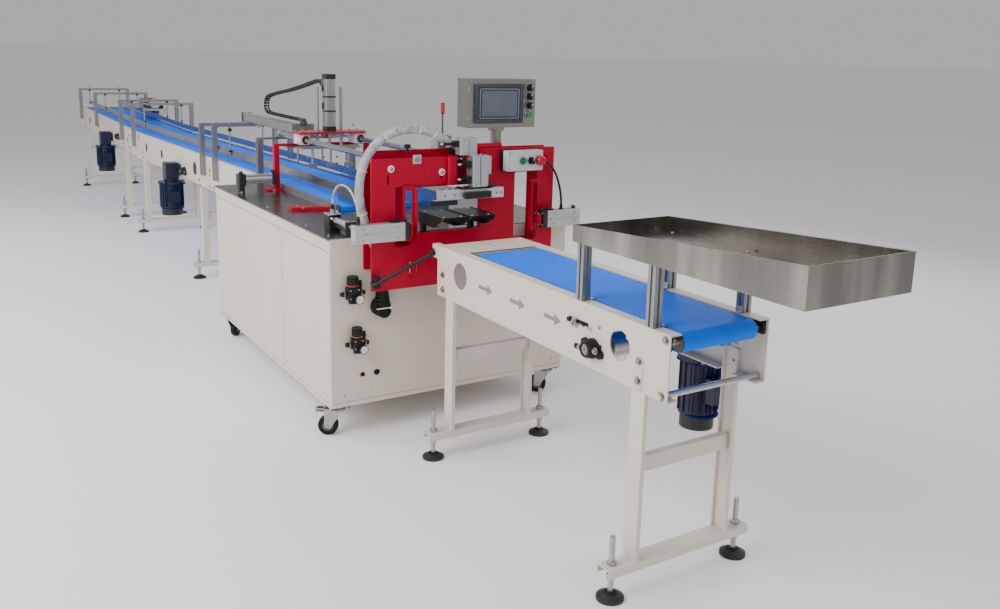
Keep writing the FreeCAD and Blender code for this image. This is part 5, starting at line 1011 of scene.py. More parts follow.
def dressCastors():
    plates = []
    for number in cabinet["castors"]:
        spot, ahead, side = castorFrame(number)
        for dx in (-33, 33):
            for dy in (-33, 33):
                x, y, _ = cabinet["castors"][number]
                plates.append(((x + dx, y + dy, 118), (0, 0, -1)))
        hub = Shape()
        for sign in (-1, 1):
            hub.lathe(spot(-38, sign * 12.4, 40), spot(-38, sign * 30, 40),
                      [(22, 0), (22, 1.2), (19, 1.9), (12, 1.0), (10.5, 4.2), (6.2, 4.6), (6.2, 0)], 30)
        hub.piece(f"castorHub{number}", f"wheel_{number}", "hubPlastic")
        tread = Shape()
        for sign in (-1, 1):
            tread.ring(spot(-38, sign * 12.9, 40), spot(-38, sign * 30, 40), 34.5, 29.5, 0.8, 0.3, 40)
        tread.piece(f"castorTread{number}", f"wheel_{number}", "blackRubber")
        pins = [(tuple(spot(-38, sign * 22.0, 40)), tuple(side * sign)) for sign in (-1, 1)]
        repeat(f"castorNuts{number}", f"castor_{number}", "zincSteel", "hexNut", pins, 0.62)
        ball = Shape()
        ball.ring(spot(0, 0, 111.6), spot(0, 0, 90), 30.4, 22, 4.4, 1.6, 40)
        ball.lathe(spot(0, 0, 101), spot(0, 0, 90), [(11, 0), (11, 5), (7, 6.5), (7, 9), (0, 9)], 6)
        ball.piece(f"castorRace{number}", f"castor_{number}", "zincSteel")
        if number < 3:
            pedal = Shape()  # brake pedal with its grip, bent down at the end
            low, high = 96.5, 99.2
            tip = [spot(-50, -13, high), spot(-86.5, -13, high), spot(-86.5, -13, high - 9), spot(-84, -13, high - 9),
                   spot(-84, -13, low), spot(-50, -13, low)]
            pedal.outline(tip, side * 26, 0.5)
            pedal.piece(f"brakePedal{number}", f"castor_{number}", "greyPaint")
            grip = Shape()
            for k in range(5):
                middle = -62 - k * 4.6
                grip.outline([spot(middle, -10, 112.2), spot(middle + 2.4, -10, 112.2),
                              spot(middle + 2.4, -10, 113.6), spot(middle, -10, 113.6)], side * 20, 0.3)
            grip.piece(f"brakeGrip{number}", f"castor_{number}", "blackRubber")
    repeat("castorPlateBolts", "machine", "zincSteel", "hexBolt", plates, 0.62)


dressCabinet()
dressCastors()
print("cabinet and castors")

# Air regulators, cable boot and the cords' collars

service = {
    "regulators": ((29, 82, 590, 23, 657), (27, 100, 388, 21, 453)),
    "collars": {
        "bootCollar": ((36, 205, 600.3), (36, 205, 636), 23, 17.4, "blackRubber"),
        "manifoldCollar": ((42.3, 517.5, 1103), (39.6, 488, 1141), 19.6, 17.3, "blackRubber"),
        "boxGland": ((109, 862.2, 1072), (109, 890, 1072), 9, 4.9, "blackPlastic"),
        "clampGland": ((116.5, 976.3, 868.1), (116.5, 976.3, 894), 8.6, 4.9, "blackPlastic"),
        "cornerGland": ((-205, 98, 878.1), (-205, 98, 899), 8, 4.4, "blackPlastic"),
        "clampAirGland": ((116.5, 69, 880.1), (116.5, 69, 900.5), 8, 4.4, "blackPlastic"),
    },
}


def dressServices():
    for name, (start, end, wide, narrow, finish) in service["collars"].items():
        length = (Vector(end) - Vector(start)).length
        collar = Shape()
        profile = [(wide, 0), (wide, 3.4), (wide * 0.9, 4.4), (wide * 0.84, 7)]
        steps = 5
        for k in range(steps):  # tapered, with shallow rings
            along = 8 + (length - 9) * k / steps
            radius = wide * 0.84 + (narrow - wide * 0.84) * k / steps
            profile += [(radius, along), (radius, along + (length - 9) / steps * 0.55),
                        (radius - 0.5, along + (length - 9) / steps * 0.62),
                        (radius - 0.5, along + (length - 9) / steps * 0.95)]
        profile += [(narrow, length - 0.8), (narrow - 0.4, length)]
        collar.lathe(start, end, profile, 26)
        collar.piece(name, "machine", finish)
    rims, faces, marks, reds, knobs, screws, ports = Shape(), Shape(), Shape(), Shape(), Shape(), [], Shape()
    pins = Shape()
    for x, y, z, half, top in service["regulators"]:
        dialX, dialY, dialZ = x + half + 14, y + 14, z - 18
        rims.ring((dialX - 2, dialY, dialZ), (dialX + 9, dialY, dialZ), 18.0, 15.4, 3.4, 0.8, 36)
        faces.lathe((dialX - 1, dialY, dialZ), (dialX + 9, dialY, dialZ), [(15.6, 0), (15.6, 1.3), (0, 1.3)], 32)
        for k in range(11):  # ticks of the dial
            a = math.radians(225 - 27 * k)
            u, v = Vector((0, math.cos(a), math.sin(a))), Vector((0, -math.sin(a), math.cos(a)))
            middle = Vector((dialX + 0.3, dialY, dialZ))
            wide = 0.5 if k % 5 else 0.9
            marks.outline([middle + u * 11 + v * wide, middle + u * 14 + v * wide, middle + u * 14 - v * wide,
                           middle + u * 11 - v * wide], (0.3, 0, 0))
        a = math.radians(160)
        u, v = Vector((0, math.cos(a), math.sin(a))), Vector((0, -math.sin(a), math.cos(a)))
        middle = Vector((dialX + 0.6, dialY, dialZ))
        marks.outline([middle - u * 3 + v, middle + u * 11.5 + v * 0.25, middle + u * 11.5 - v * 0.25,
                       middle - u * 3 - v], (0.4, 0, 0))
        marks.lathe((dialX + 0.3, dialY, dialZ), (dialX + 9, dialY, dialZ), [(1.8, 0), (1.8, 1), (1.2, 1.3), (0, 1.3)], 16)
        reds.ring((x, y, z + half + 5.5), (x, y, top), half * 0.9, half * 0.78, 5.2, 0.8, 36)
        for k in range(22):  # grip ribs round the adjusting knob
            a = 2 * math.pi * k / 22
            px, py = x + half * 0.93 * math.cos(a), y + half * 0.93 * math.sin(a)
            knobs.rod((px, py, z + half + 14), (px, py, top - 6), 1.15, 0.4, 6)
        knobs.lathe((x, y, top - 7), (x, y, top), [(half * 0.955, 0), (half * 0.955, 3), (half * 0.8, 6.9), (half * 0.5, 6.9),
                                                 (half * 0.45, 6), (0, 6)], 32)
        knobs.lathe((x, y, z - half - 2), (x, y, z - half - 16), [(half * 0.74, 0), (half * 0.74, 2), (half * 0.6, 3),
                                                                 (half * 0.6, 9), (half * 0.73, 10), (half * 0.6, 13.8), (0, 14)], 28)
        for sign in (-1, 1):
            end = y + sign * (half + 26)
            ports.lathe((x, end - sign * 13, z), (x, end, z), [(10.5, 0), (10.5, 6), (9.6, 6.8), (9.6, 11.8),
                                                                (8.2, 12.8), (4.2, 12.8), (4, 9), (0, 9)], 8)
            pins.lathe((x, end - sign * 15.5, z), (x, end, z), [(11.2, 0), (11.2, 2.2), (10.2, 2.8), (8, 2.8)], 24)
        screws += [((x + half, y + sy * half * 0.7, z + half * 0.7), (1, 0, 0)) for sy in (-1, 1)]
        screws += [((x + half, y - half * 0.7, z - half * 0.7), (1, 0, 0))]
        ports.rod((x, y + half + 8, z + half * 0.2), (x, y + half + 8, z + half + 12), 6.2)
        ports.lathe((x, y + half + 8, z + half + 8), (x, y + half + 8, z + half + 30), [(8, 0), (8, 5), (5, 8), (5, 13), (6.4, 14),
                                                                                (6.4, 17), (0, 18)], 18)
    rims.piece("gaugeRims", "machine", "blackPlastic")
    faces.piece("gaugeFaces", "machine", "whitePlastic")
    marks.piece("gaugeMarks", "machine", "blackPlastic")
    reds.piece("regulatorRings", "machine", "redPlastic")
    knobs.piece("regulatorKnobs", "machine", "blackPlastic")
    ports.piece("regulatorPorts", "machine", "blackPlastic")
    pins.piece("portRings", "machine", "brass")
    repeat("regulatorScrews", "machine", "zincSteel", "domeScrew", screws, 0.7)
    boot = Shape()  # folds of the boot and its white tie
    for z, out in ((588, 29), (574, 31), (560, 33), (546, 34)):
        boot.lathe((27.5, 205, z), (27.5, 205, z - 9), [(out - 4, 0), (out - 5.5, 2), (out - 5.5, 5), (out - 4, 8)], 30)
    boot.ring((55 - 8, 205, 510), (60, 205, 510), 27.5, 21, 8.2, 2.4, 40)
    boot.lathe((50, 205, 510), (60, 205, 510), [(20, 0), (19, 2.2), (12, 4), (0, 4.6)], 36)
    boot.piece("bootFolds", "machine", "blackRubber")
    tie = Shape()
    tie.block((55.0, 56.2), (169, 241), (520.5, 524.5), 0.4)
    tie.block((54.6, 58), (224, 231), (518.5, 526.5), 0.6)
    tie.piece("bootTie", "machine", "whitePlastic")
    ties = Shape()
    points = [at(*p) for p in cords["hoseBundle"]["points"]]
    for k in (2, 4, 6, 8, 10, 11):  # cable ties round the bundle
        middle = (points[k] + (points[k - 1] + points[k + 1]) / 2) / 2
        ahead = (points[k + 1] - points[k - 1]).normalized()
        middle = (middle - corner) * 1000
        ties.ring(middle - ahead * 2, middle + ahead * 6, 18.6, 15.5, 4.2, 0.6, 30)
    ties.piece("bundleTies", "machine", "whitePlastic")


dressServices()
print("services")

# Front plate, clamps and the sealing head

head = {
    "plate": 80, "clampZ": 834, "clampX": (80, 136), "left": (49, 269), "right": (877, 1061),
    "cylinder": ((96, 148), (531, 601), (988, 1109)), "upper": ((74, 114), (492, 568), (1109, 1174)),
    "bar": ((108, 148), (395, 672), (942, 982)),
}


def dressPlates():
    x = head["plate"]
    outward = (1, 0, 0)
    big = [((x, 217, 1064), outward), ((x, 432, 1043), outward)]
    washers = Shape()
    for (px, y, z), _ in big:
        washers.lathe((px, y, z), (px + 9, y, z), [(13.5, 0), (13.5, 2.2), (12.6, 3), (0, 3)], 32)
    washers.piece("plateWashers", "machine", "whitePlastic")
    repeat("plateBolts", "machine", "zincSteel", "capScrew", [((px + 3, y, z), d) for (px, y, z), d in big], 1.0)
    small = [((x, y, z), outward) for y, z in ((430, 1000), (660, 1040), (700, 640), (890, 640), (915, 1090), (180, 640),
                                               (820, 720), (820, 742), (300, 640), (560, 640))]
    repeat("plateScrews", "machine", "redPaint", "capScrew", small, 0.85)
    latch = Shape()
    latch.block((x, x + 3), (307, 343), (1079, 1113), 2)
    latch.piece("latchPlate", "machine", "greyPaint")
    repeat("latchBolt", "machine", "zincSteel", "hexBolt", [((x + 3, 325, 1097), outward, 20)], 1.0)
    knob = Shape()
    knob.lathe((50, 299, 1126), (50, 299, 1180), [(5, 0), (5, 10), (12.5, 11.5), (13, 15), (12, 24), (8, 25.5), (0, 25.5)], 24)
    knob.lathe((50, 299, 1126), (50, 299, 1180), [(15, 0), (15, 3), (9, 4)], 24)
    knob.piece("latchKnob", "machine", "blackPlastic")
    posts = Shape()  # spacer studs between the two plates
    for y, z in ((170, 1085), (905, 1085), (905, 700), (180, 640)):
        posts.rod((8.5, y, z), (71.8, y, z), 7, 0.8, 20)
    posts.piece("plateSpacers", "machine", "zincSteel")
    clips = Shape()  # small brass stop below the stay
    clips.rod((x, 295, 690), (x + 9, 295, 690), 5)
    clips.rod((x + 4, 295, 660), (x + 4, 295, 704), 2.6)
    clips.piece("plateStop", "machine", "brass")


def grooved(shape, x, y, z, along, places, wide=2.2, sink=0.35):
    # dark slots on a profile's face: shape gets strips as thin as paint
    for face, middle in places:
        if along == "y":
            if face == "front":
                shape.block((x[1] - 0.05, x[1] + sink), (y[0] + 9, y[1] - 9), (middle - wide, middle + wide))
            else:
                shape.block((middle - wide, middle + wide), (y[0] + 9, y[1] - 9), (z[1] - 0.05, z[1] + sink))
        else:
            shape.block((x[1] - 0.05, x[1] + sink), (middle - wide, middle + wide), (z[0] + 6, z[1] - 6))


def dressClamps():
    slots1, plugs, screws, dots = Shape(), [], [], []
    x = head["clampX"]
    z = (head["clampZ"] - 34, head["clampZ"] + 34)
    ends = Shape()
    for key, inner in (("left", 1), ("right", 0)):
        y = head[key]
        grooved(slots1, x, y, z, "y", (("front", z[0] + 13), ("front", z[1] - 13)), 0.9)
        grooved(slots1, x, y, z, "y", (("top", 100), ("top", 118)), 2.4)
        dots += [((x[1], y[0] + d * (y[1] - y[0]), head["clampZ"] + dz), (1, 0, 0)) for d, dz in ((0.2, 2), (0.55, 6), (0.86, -9))]
        for edge, out in ((y[0], -1), (y[1], 1)):
            screws += [((px, edge, pz), (0, out, 0)) for px in (x[0] + 9, x[1] - 9) for pz in (z[0] + 9, z[1] - 9)]
        plugs += [((108, y[0] + 20 if key == "left" else y[1] - 20, z[1]), (0, 0, 1)),
                  ((108, y[1] - 36 if key == "left" else y[0] + 36, z[1]), (0, 0, 1))]
        sensor = y[1] - 70 if key == "left" else y[0] + 22
        ends.block((96, 124), (sensor, sensor + 34), (z[1] - 0.2, z[1] + 7), 1.5)
        ends.block((104, 112), (sensor + 34, sensor + 44), (z[1], z[1] + 5), 1.5)
    slots1.piece("clampSlots", "machine", "seamShadow")
    ends.piece("clampSensors", "machine", "blackPlastic")
    repeat("clampScrews", "machine", "zincSteel", "capScrew", screws, 0.7)
    repeat("clampDots", "machine", "darkSteel", "domeScrew", dots, 0.75)
    repeat("clampFittings", "machine", "blackPlastic", "airFitting", plugs, 0.95)
    rods = {"left_clamp": (269, 1), "right_clamp": (877, -1)}
    for body, (y, inward) in rods.items():  # piston rod between the cylinder and its jaw
        rod = Shape()
        rod.rod((108, y - inward * 40, head["clampZ"] + 6), (108, y + inward * 10, head["clampZ"] + 6), 6.5, 0.4, 24)
        rod.rod((108, y - inward * 40, head["clampZ"] - 18), (108, y + inward * 9, head["clampZ"] - 18), 4, 0.4, 20)
        rod.piece(body + "Rods", body, "groundSteel")
        bolts = [((px, y + inward * 15.9, head["clampZ"] + dz), (0, inward, 0)) for px in (98, 120) for dz in (-22, 22)]
        repeat(body + "Bolts", body, "zincSteel", "capScrew", bolts, 0.6)


def dressHead():
    dark, metal, screws, tiny = Shape(), Shape(), [], []
    for key in ("cylinder", "upper"):
        x, y, z = head[key]
        middle = (y[0] + y[1]) / 2
        grooved(dark, x, y, z, "z", (("front", middle - 2),), 2.2)
        grooved(dark, x, y, z, "z", (("front", y[0] + 9), ("front", y[1] - 9)), 0.7)
        screws += [((x[1], py, pz), (1, 0, 0)) for py in (y[0] + 17, y[1] - 15) for pz in (z[0] + 9, z[1] - 9)]
        tiny += [((px, py, z[1]), (0, 0, 1)) for px in (x[0] + 9, x[1] - 9) for py in (y[0] + 10, y[1] - 10)]
    dark.piece("cylinderSlots", "machine", "seamShadow")
    repeat("cylinderScrews", "machine", "darkSteel", "domeScrew", screws, 0.8)
    repeat("cylinderTopScrews", "machine", "zincSteel", "capScrew", tiny, 0.6)
    parts = Shape()  # dark fittings and the clamp block beside the main cylinder
    parts.block((104, 140), (512, 531), (1000, 1030), 2)
    parts.block((100, 138), (514, 531), (1062, 1088), 2)
    parts.rod((120, 515, 1016), (120, 492, 1016), 6.5)
    parts.rod((118, 516, 1074), (118, 494, 1074), 6)
    parts.block((84, 106), (470, 492), (1140, 1164), 2)
    parts.rod((94, 471, 1152), (94, 440, 1152), 5.6)
    parts.rod((94, 441, 1152), (94, 428, 1152), 7.2)
    parts.piece("headFittings", "machine", "blackPlastic")
    nuts = [((120, 492.5, 1016), (0, -1, 0)), ((118, 494.5, 1074), (0, -1, 0)), ((94, 429, 1152), (0, -1, 0))]
    repeat("headPushFits", "machine", "greyPlastic", "airFitting", nuts, 0.8)
    plate = Shape()  # dark plate and rods that go down with the bar
    plate.block((104, 156), (478, 616), (982, 987), 1.5)
    plate.block((108, 150), (590, 632), (987, 992), 1.5)
    plate.piece("headDarkPlate", "sealing_head", "blackPlastic")
    rods = Shape()
    for y in (548, 584):
        rods.rod((124, y, 975), (124, y, 1046), 6.5, 0.5, 24)
    rods.piece("headRods", "sealing_head", "groundSteel")
    bolts = [((148, y, 962), (1, 0, 0)) for y in (410, 452, 640, 660)]
    repeat("barBolts", "sealing_head", "zincSteel", "capScrew", bolts, 0.7)
    tops = [((px, py, 987), (0, 0, 1)) for px in (112, 148) for py in (486, 520)]
    tops += [((px, py, 992), (0, 0, 1)) for px in (115, 142) for py in (610, 626)]
    repeat("plateTopScrews", "sealing_head", "darkSteel", "capScrew", tops, 0.7)
    jaws = Shape()
    jaws.block((148.2, 169.8), (490, 602), (947.5, 950), 0.6)
    for k in range(12):
        y = 494 + k * 9
        jaws.block((169.6, 170.4), (y, y + 4.2), (953, 969), 0.2)
    jaws.piece("jawStrip", "sealing_head", "formerBlack")
    collars = Shape()
    for y in (430, 456):
        collars.ring((128, y, 982), (128, y, 999), 10, 6.6, 6, 0.8, 24)
    collars.piece("guideCollars", "sealing_head", "zincSteel")


def dressValve():
    body = Shape()
    for k in range(4):  # stacked valves on the block, each with a coil
        y = 455 + k * 16.5
        body.block((-56, -2), (y, y + 14), (1171.6, 1173.4), 0.6)
        body.block((-0.2, 1.2), (y + 1, y + 13), (1092, 1120), 0.4)
    body.block((-57, -1), (453, 519), (1068.6, 1071.5), 0.8)
    body.piece("valveStack", "machine", "darkSteel")
    screws = [((-8 - 42 * (k % 2), 461 + 16.5 * (k // 2), 1173.4), (0, 0, 1)) for k in range(8)]
    repeat("valveScrews", "machine", "zincSteel", "domeScrew", screws, 0.7)
    lines = Shape()
    for k in range(1, 4):
        y = 452 + k * 17
        lines.block((-58.3, 0.3), (y - 0.5, y + 0.5), (1074, 1172.3))
    lines.piece("valveJoints", "machine", "seamShadow")
    signal = Shape()
    signal.lathe((-14, 483, 1172), (-14, 483, 1300), [(9, 0), (9, 5), (6, 7), (6, 12), (3.5, 13)], 20)
    signal.ring((-14, 483, 1258), (-14, 483, 1300), 6.4, 4, 4, 0.8, 20)
    signal.piece("signalFoot", "machine", "blackPlastic")
    fits = [((60, y, z), (1, 0, 0)) for y in (505, 525) for z in (1069, 1090)]
    repeat("manifoldFittings", "machine", "greyPlastic", "airFitting", fits, 0.8)
    manifold = [((24 + dx, 533, z), (0, 1, 0)) for dx in (8, 28) for z in (1067, 1093)]
    repeat("manifoldScrews", "machine", "zincSteel", "capScrew", manifold, 0.6)
    former = Shape()  # folded lips of the two bag guides and their screws
    for y0, y1 in ((362, 479), (485, 601)):
        former.block((12, 203), (y0 + 0.4, y0 + 3.4), (886, 888.4), 0.6)
        former.block((12, 203), (y1 - 3.4, y1 - 0.4), (886, 888.4), 0.6)
        former.block((201.5, 204.6), (y0 + 5, y1 - 5), (841, 843.4), 0.6)
    former.piece("formerLips", "machine", "formerBlack")
    heads = [((px, py, 886), (0, 0, 1)) for px in (34, 190) for py in (384, 457, 507, 579)]
    repeat("formerScrews", "machine", "zincSteel", "domeScrew", heads, 0.9)
    stay = Shape()
    stay.lathe((88, 131, 630), (98, 148, 640), [(9, 0), (10.5, 3), (10.5, 12), (8, 15)], 24)
    stay.ring((210, 320, 762), (218, 332, 767), 13, 7.5, 14, 1.5, 28)
    stay.piece("stayEnds", "machine", "blackPlastic")


dressPlates()
dressClamps()
dressHead()
dressValve()
print("sealing head")

# Operator panel and push-button box

panel = {
    "front": 0, "y": (598, 908), "z": (1201, 1396), "screen": ((618, 844), (1219, 1377)),
    "knobs": (1362, 1326, 1290), "knobY": 876, "green": 1254, "post": (-50, 753),
}


def dressPanel():
    (y0, y1), (z0, z1) = panel["y"], panel["z"]
    (s0, s1), (t0, t1) = panel["screen"]
    seam = Shape()
    seam.block((-14.5, -13.3), (y0 - 0.25, y1 + 0.25), (z0 - 0.25, z1 - 0.4))
    seam.block((-99.6, -98.4), (y0 - 0.25, y1 + 0.25), (z0 - 0.25, z1 - 0.4))
    seam.piece("caseSeam", "machine", "seamShadow")
    bezel = Shape()  # rounded bezel standing round the glass
    for y, z in (((s0, s1), (t0, t0 + 14)), ((s0, s1), (t1 - 14, t1)), ((s0, s0 + 14), (t0 + 12, t1 - 12)),
                 ((s1 - 14, s1), (t0 + 12, t1 - 12))):
        bezel.block((8.6, 11.2), y, z, 1.1)
    bezel.piece("screenBezel", "machine", "bezelPlastic")
    frameLine = Shape()
    a0, a1, b0, b1 = s0 + 21, s1 - 21, t0 + 20, t1 - 20
    for y, z in (((a0, a1), (b0, b0 + 1.6)), ((a0, a1), (b1 - 1.6, b1)), ((a0, a0 + 1.6), (b0, b1)),
                 ((a1 - 1.6, a1), (b0, b1))):
        frameLine.block((9, 9.5), y, z)
    frameLine.piece("screenLine", "machine", "greyPaint")
    glass = Shape()
    glass.block((9, 9.35), (a0 + 9, a1 - 9), (b0 + 8, b1 - 8))
    glass.piece("screenDisplay", "machine", "displayGlow")
    marks, skirts, rings = Shape(), Shape(), Shape()
    for k, z in enumerate(panel["knobs"]):
        angle = math.radians((50, 75, 30)[k])
        u = Vector((0, math.cos(angle), math.sin(angle)))
        v = Vector((0, -math.sin(angle), math.cos(angle)))
        middle = Vector((22, panel["knobY"], z))
        marks.outline([middle + u * 3 + v, middle + u * 12 + v * 1.6, middle + u * 12 - v * 1.6, middle + u * 3 - v],
                      (0.6, 0, 0), 0.15)
        skirts.ring((0.1, panel["knobY"], z), (9, panel["knobY"], z), 16.2, 12, 3.4, 0.9, 32)
        for j in range(16):
            a = 2 * math.pi * j / 16
            py, pz = panel["knobY"] + 13.9 * math.cos(a), z + 13.9 * math.sin(a)
            rings.rod((8, py, pz), (19.5, py, pz), 0.9, 0.3, 6)
    z = panel["green"]
    skirts.ring((0.1, panel["knobY"], z), (9, panel["knobY"], z), 17, 13.2, 6.5, 1.2, 32)
    marks.piece("knobPointers", "machine", "whitePlastic")
    skirts.piece("knobSkirts", "machine", "zincSteel")
    rings.piece("knobGrip", "machine", "blackPlastic")
    cap = Shape()
    cap.lathe((11.6, panel["knobY"], z), (20, panel["knobY"], z), [(12.6, 0), (12.4, 1.2), (10, 2.1), (0, 2.5)], 32)
    cap.piece("greenCap", "machine", "greenPlastic")
    x, y = panel["post"]
    collar = Shape()
    collar.ring((x, y, 800.2), (x, y, 820), 45, 22.4, 7, 1.2, 48)
    collar.ring((x, y, 1186), (x, y, 1201), 34, 22.4, 14.8, 1.2, 40)
    collar.ring((x, y, 1116), (x, y, 1130), 26, 22.2, 9, 1.0, 40)
    collar.piece("postCollars", "machine", "brushedCase")
    bolts = [((x + 34 * math.cos(a), y + 34 * math.sin(a), 807.2), (0, 0, 1)) for a in
             (math.pi / 4 + k * math.pi / 2 for k in range(4))]
    repeat("postBolts", "machine", "zincSteel", "capScrew", bolts, 0.8)
    screws = [((-100, py, pz), (-1, 0, 0)) for py in (612, 894) for pz in (1215, 1382)]
    screws += [((0, py, pz), (1, 0, 0)) for py in (606, 900) for pz in (1209, 1388)]
    repeat("caseScrews", "machine", "zincSteel", "domeScrew", screws, 0.8)
    slots2 = Shape()  # air slots in the back of the case
    for k in range(7):
        slots2.block((-100.4, -99.8), (690, 816), (1250 + k * 13, 1255 + k * 13), 0.2)
    slots2.piece("caseSlots", "machine", "seamShadow")
    hinges = Shape()
    for z in (1240, 1352):
        hinges.rod((-6, 597.6, z - 14), (-6, 597.6, z + 14), 3.4, 0.5, 16)
    hinges.piece("caseHinges", "machine", "zincSteel")


def dressBox():
    rear = Shape()  # painted shade: black over the back half of the box, where it lies in shadow
    rear.block((80.1, 106), (692.6, 863.2), (1038.8, 1121.2), 3)
    rear.piece("boxBack", "machine", "blackPlastic")
    seam = Shape()
    seam.block((121, 122), (693.7, 862.3), (1039.7, 1120.3))
    seam.piece("boxSeam", "machine", "seamShadow")
    screws = [((138, y, z), (1, 0, 0)) for y in (702, 854) for z in (1048, 1112)]
    repeat("boxScrews", "machine", "zincSteel", "domeScrew", screws, 0.95)
    skirts = Shape()
    for y, radius in ((764, 17.5), (803, 17.5)):
        skirts.ring((138.1, y, 1080), (150, y, 1080), radius, 13.2, 4.6, 1.1, 32)
    skirts.ring((138.1, 842, 1080), (150, 842, 1080), 19.6, 11, 2.2, 0.6, 32)
    skirts.piece("buttonSkirts", "machine", "zincSteel")
    lever = Shape()
    lever.block((158, 163.5), (799.2, 806.8), (1066.5, 1093.5), 1.4)
    lever.piece("selectorLever", "machine", "blackPlastic")
    mark = Shape()
    mark.block((163.4, 163.9), (802, 804), (1082, 1092))
    mark.piece("selectorMark", "machine", "whitePlastic")
    dome = Shape()  # mushroom head and its neck
    dome.lathe((151.5, 842, 1080), (170, 842, 1080), [(14, 0), (19.6, 1.2), (20.2, 4.5), (19, 9), (14, 12.6), (7, 14), (0, 14.3)], 40)
    dome.piece("stopDome", "machine", "redPlastic")


dressPanel()
dressBox()
print("controls")

# Gantry, carriage, pushing cylinder and cable chain

gantry = {
    "rods": (331.5, 618.5), "level": 1060, "carriage": (-1235, -1125), "plateTop": 1097, "stand": -1489,
    "push": (-2560, -1560), "chainPitch": 20.5,
    "chain": [(-1565, 1124), (-2080, 1124), (-2138, 1134), (-2160, 1166), (-2142, 1207), (-2080, 1231.5),
              (-1640, 1284.5), (-1330, 1339.5), (-1280, 1338.5), (-1245, 1320.5)],
}


def alongPath(poles, pitch):  # even steps along a smooth line through its poles, with directions
    fine = []
    last = len(poles) - 2
    for k in range(last):
        first = Vector(poles[0]) if k == 0 else (Vector(poles[k]) + Vector(poles[k + 1])) / 2
        bend = Vector(poles[k + 1])
        end = Vector(poles[-1]) if k == last - 1 else (Vector(poles[k + 1]) + Vector(poles[k + 2])) / 2
        fine += [(1 - t) ** 2 * first + 2 * t * (1 - t) * bend + t * t * end for t in (j / 60 for j in range(60))]
    fine.append(Vector(poles[-1]))
    steps, walked = [(fine[0], (fine[1] - fine[0]).normalized())], 0.0
    for before, after in zip(fine, fine[1:]):
        walked += (after - before).length
        if walked >= pitch * len(steps):
            steps.append((after, (after - before).normalized()))
    return steps


def dressGantry():
    level = gantry["level"]
    bores, seals = Shape(), Shape()
    for y in gantry["rods"]:
        for x, out in ((gantry["carriage"][0], -1), (gantry["carriage"][1], 1)):
            bores.ring((x, y, level), (x + out * 9, y, level), 20, 13.2, 2.4, 0.8, 32)
        seals.ring((gantry["stand"], y, level), (gantry["stand"] + 9, y, level), 24, 12.8, 16, 1.5, 32)
        seals.ring((-0.5, y, level), (-20, y, level), 24, 12.8, 12, 1.5, 32)
    bores.piece("carriageBores", "carriage", "blackPlastic")
    seals.piece("rodCollars", "machine", "barAluminium")
    top = gantry["plateTop"]
    heads = [((x, y, top), (0, 0, 1)) for x in (-1222, -1138) for y in (312, 352, 598, 638)]
    repeat("carriageScrews", "carriage", "zincSteel", "capScrew", heads, 0.95)
    sides = [((x, y, z), (0, out, 0)) for y, out in ((299, -1), (651, 1)) for x in (-1220, -1140) for z in (1045, 1078)]
    repeat("carriageSideScrews", "carriage", "zincSteel", "capScrew", sides, 0.7)
    fits = [((-1202, 475 + d, z), (-1, 0, 0)) for d in (-14, 14) for z in (1112, 1364)]
    repeat("liftFittings", "carriage", "greyPlastic", "airFitting", fits, 0.75)
    lift = Shape()  # sensor rails and their clamps on the lifting cylinder
    for y in (450.4, 499.6):
        lift.block((-1199, -1195), (y - 0.8, y + 0.8), (1124, 1350))
    lift.block((-1206, -1190), (446.5, 450), (1205, 1236), 1)
    lift.block((-1206, -1190), (446.5, 450), (1290, 1321), 1)
    lift.piece("liftSensors", "carriage", "blackPlastic")
    x0, x1 = gantry["push"]
    rods = Shape()
    for y in (451, 499):
        for z in (1050, 1094):
            rods.rod((x0 + 20, y, z), (x1 - 20, y, z), 3.2, 0.3, 12)
    rods.piece("pushTieRods", "machine", "zincSteel")
    nuts = [((x0, y, z), (-1, 0, 0)) for y in (452, 498) for z in (1049, 1095)]
    nuts += [((x1, y, z), (1, 0, 0)) for y in (452, 498) for z in (1049, 1095)]
    repeat("pushNuts", "machine", "zincSteel", "hexNut", nuts, 0.5)
    ports = [((x, 475, 1101), (0, 0, 1)) for x in (x0 + 16, x1 - 16)]
    repeat("pushFittings", "machine", "greyPlastic", "airFitting", ports, 0.9)
    bolts = [((gantry["stand"], y, z), (1, 0, 0)) for y in (216, 734) for z in (828, 1100)]
    repeat("standBolts", "machine", "zincSteel", "capScrew", bolts, 0.9)
    pusher = [((-1173, y, z), (1, 0, 0)) for y in (360, 440, 510, 590) for z in (935, 968)]
    repeat("pusherScrews", "pusher", "zincSteel", "capScrew", pusher, 0.8)


def dressChain():
    steps = alongPath(gantry["chain"], gantry["chainPitch"])
    middle = 475
    spots = [((p.x, middle, p.y), (d.x, 0, d.y), 0) for p, d in steps[:-1]]
    links = repeat("chainLinks", None, "blackPlastic", "chainLink", spots)
    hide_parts("cable_chain")
    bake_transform(links)
    core = Shape()
    core.tube([(p.x, middle - 4, p.y) for p, d in steps], 3.6, 10)
    core.tube([(p.x, middle + 5, p.y) for p, d in steps], 4.2, 10)
    hoses = core.piece("chainHoses", None, "greyPlastic")
    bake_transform(hoses)
    ends = Shape()
    ends.block((-1569, -1540), (461, 489), (1116, 1132), 1.5)
    ends.block((-1545, -1520), (463, 487), (1097, 1119), 1.5)
    ends.piece("chainFoot", "machine", "darkSteel")
    head = Shape()
    head.block((-1258, -1241), (461.5, 488.5), (1314, 1336), 2)
    head.piece("chainHead", "carriage", "darkSteel")


dressGantry()
dressChain()

# Cylinders and bars on the steel top

table = {"level": 800, "stop": (-1298, -1242, 34, 220), "corner": (-231, 0, 68, 128), "bar": (-705, -610, 92, 250)}


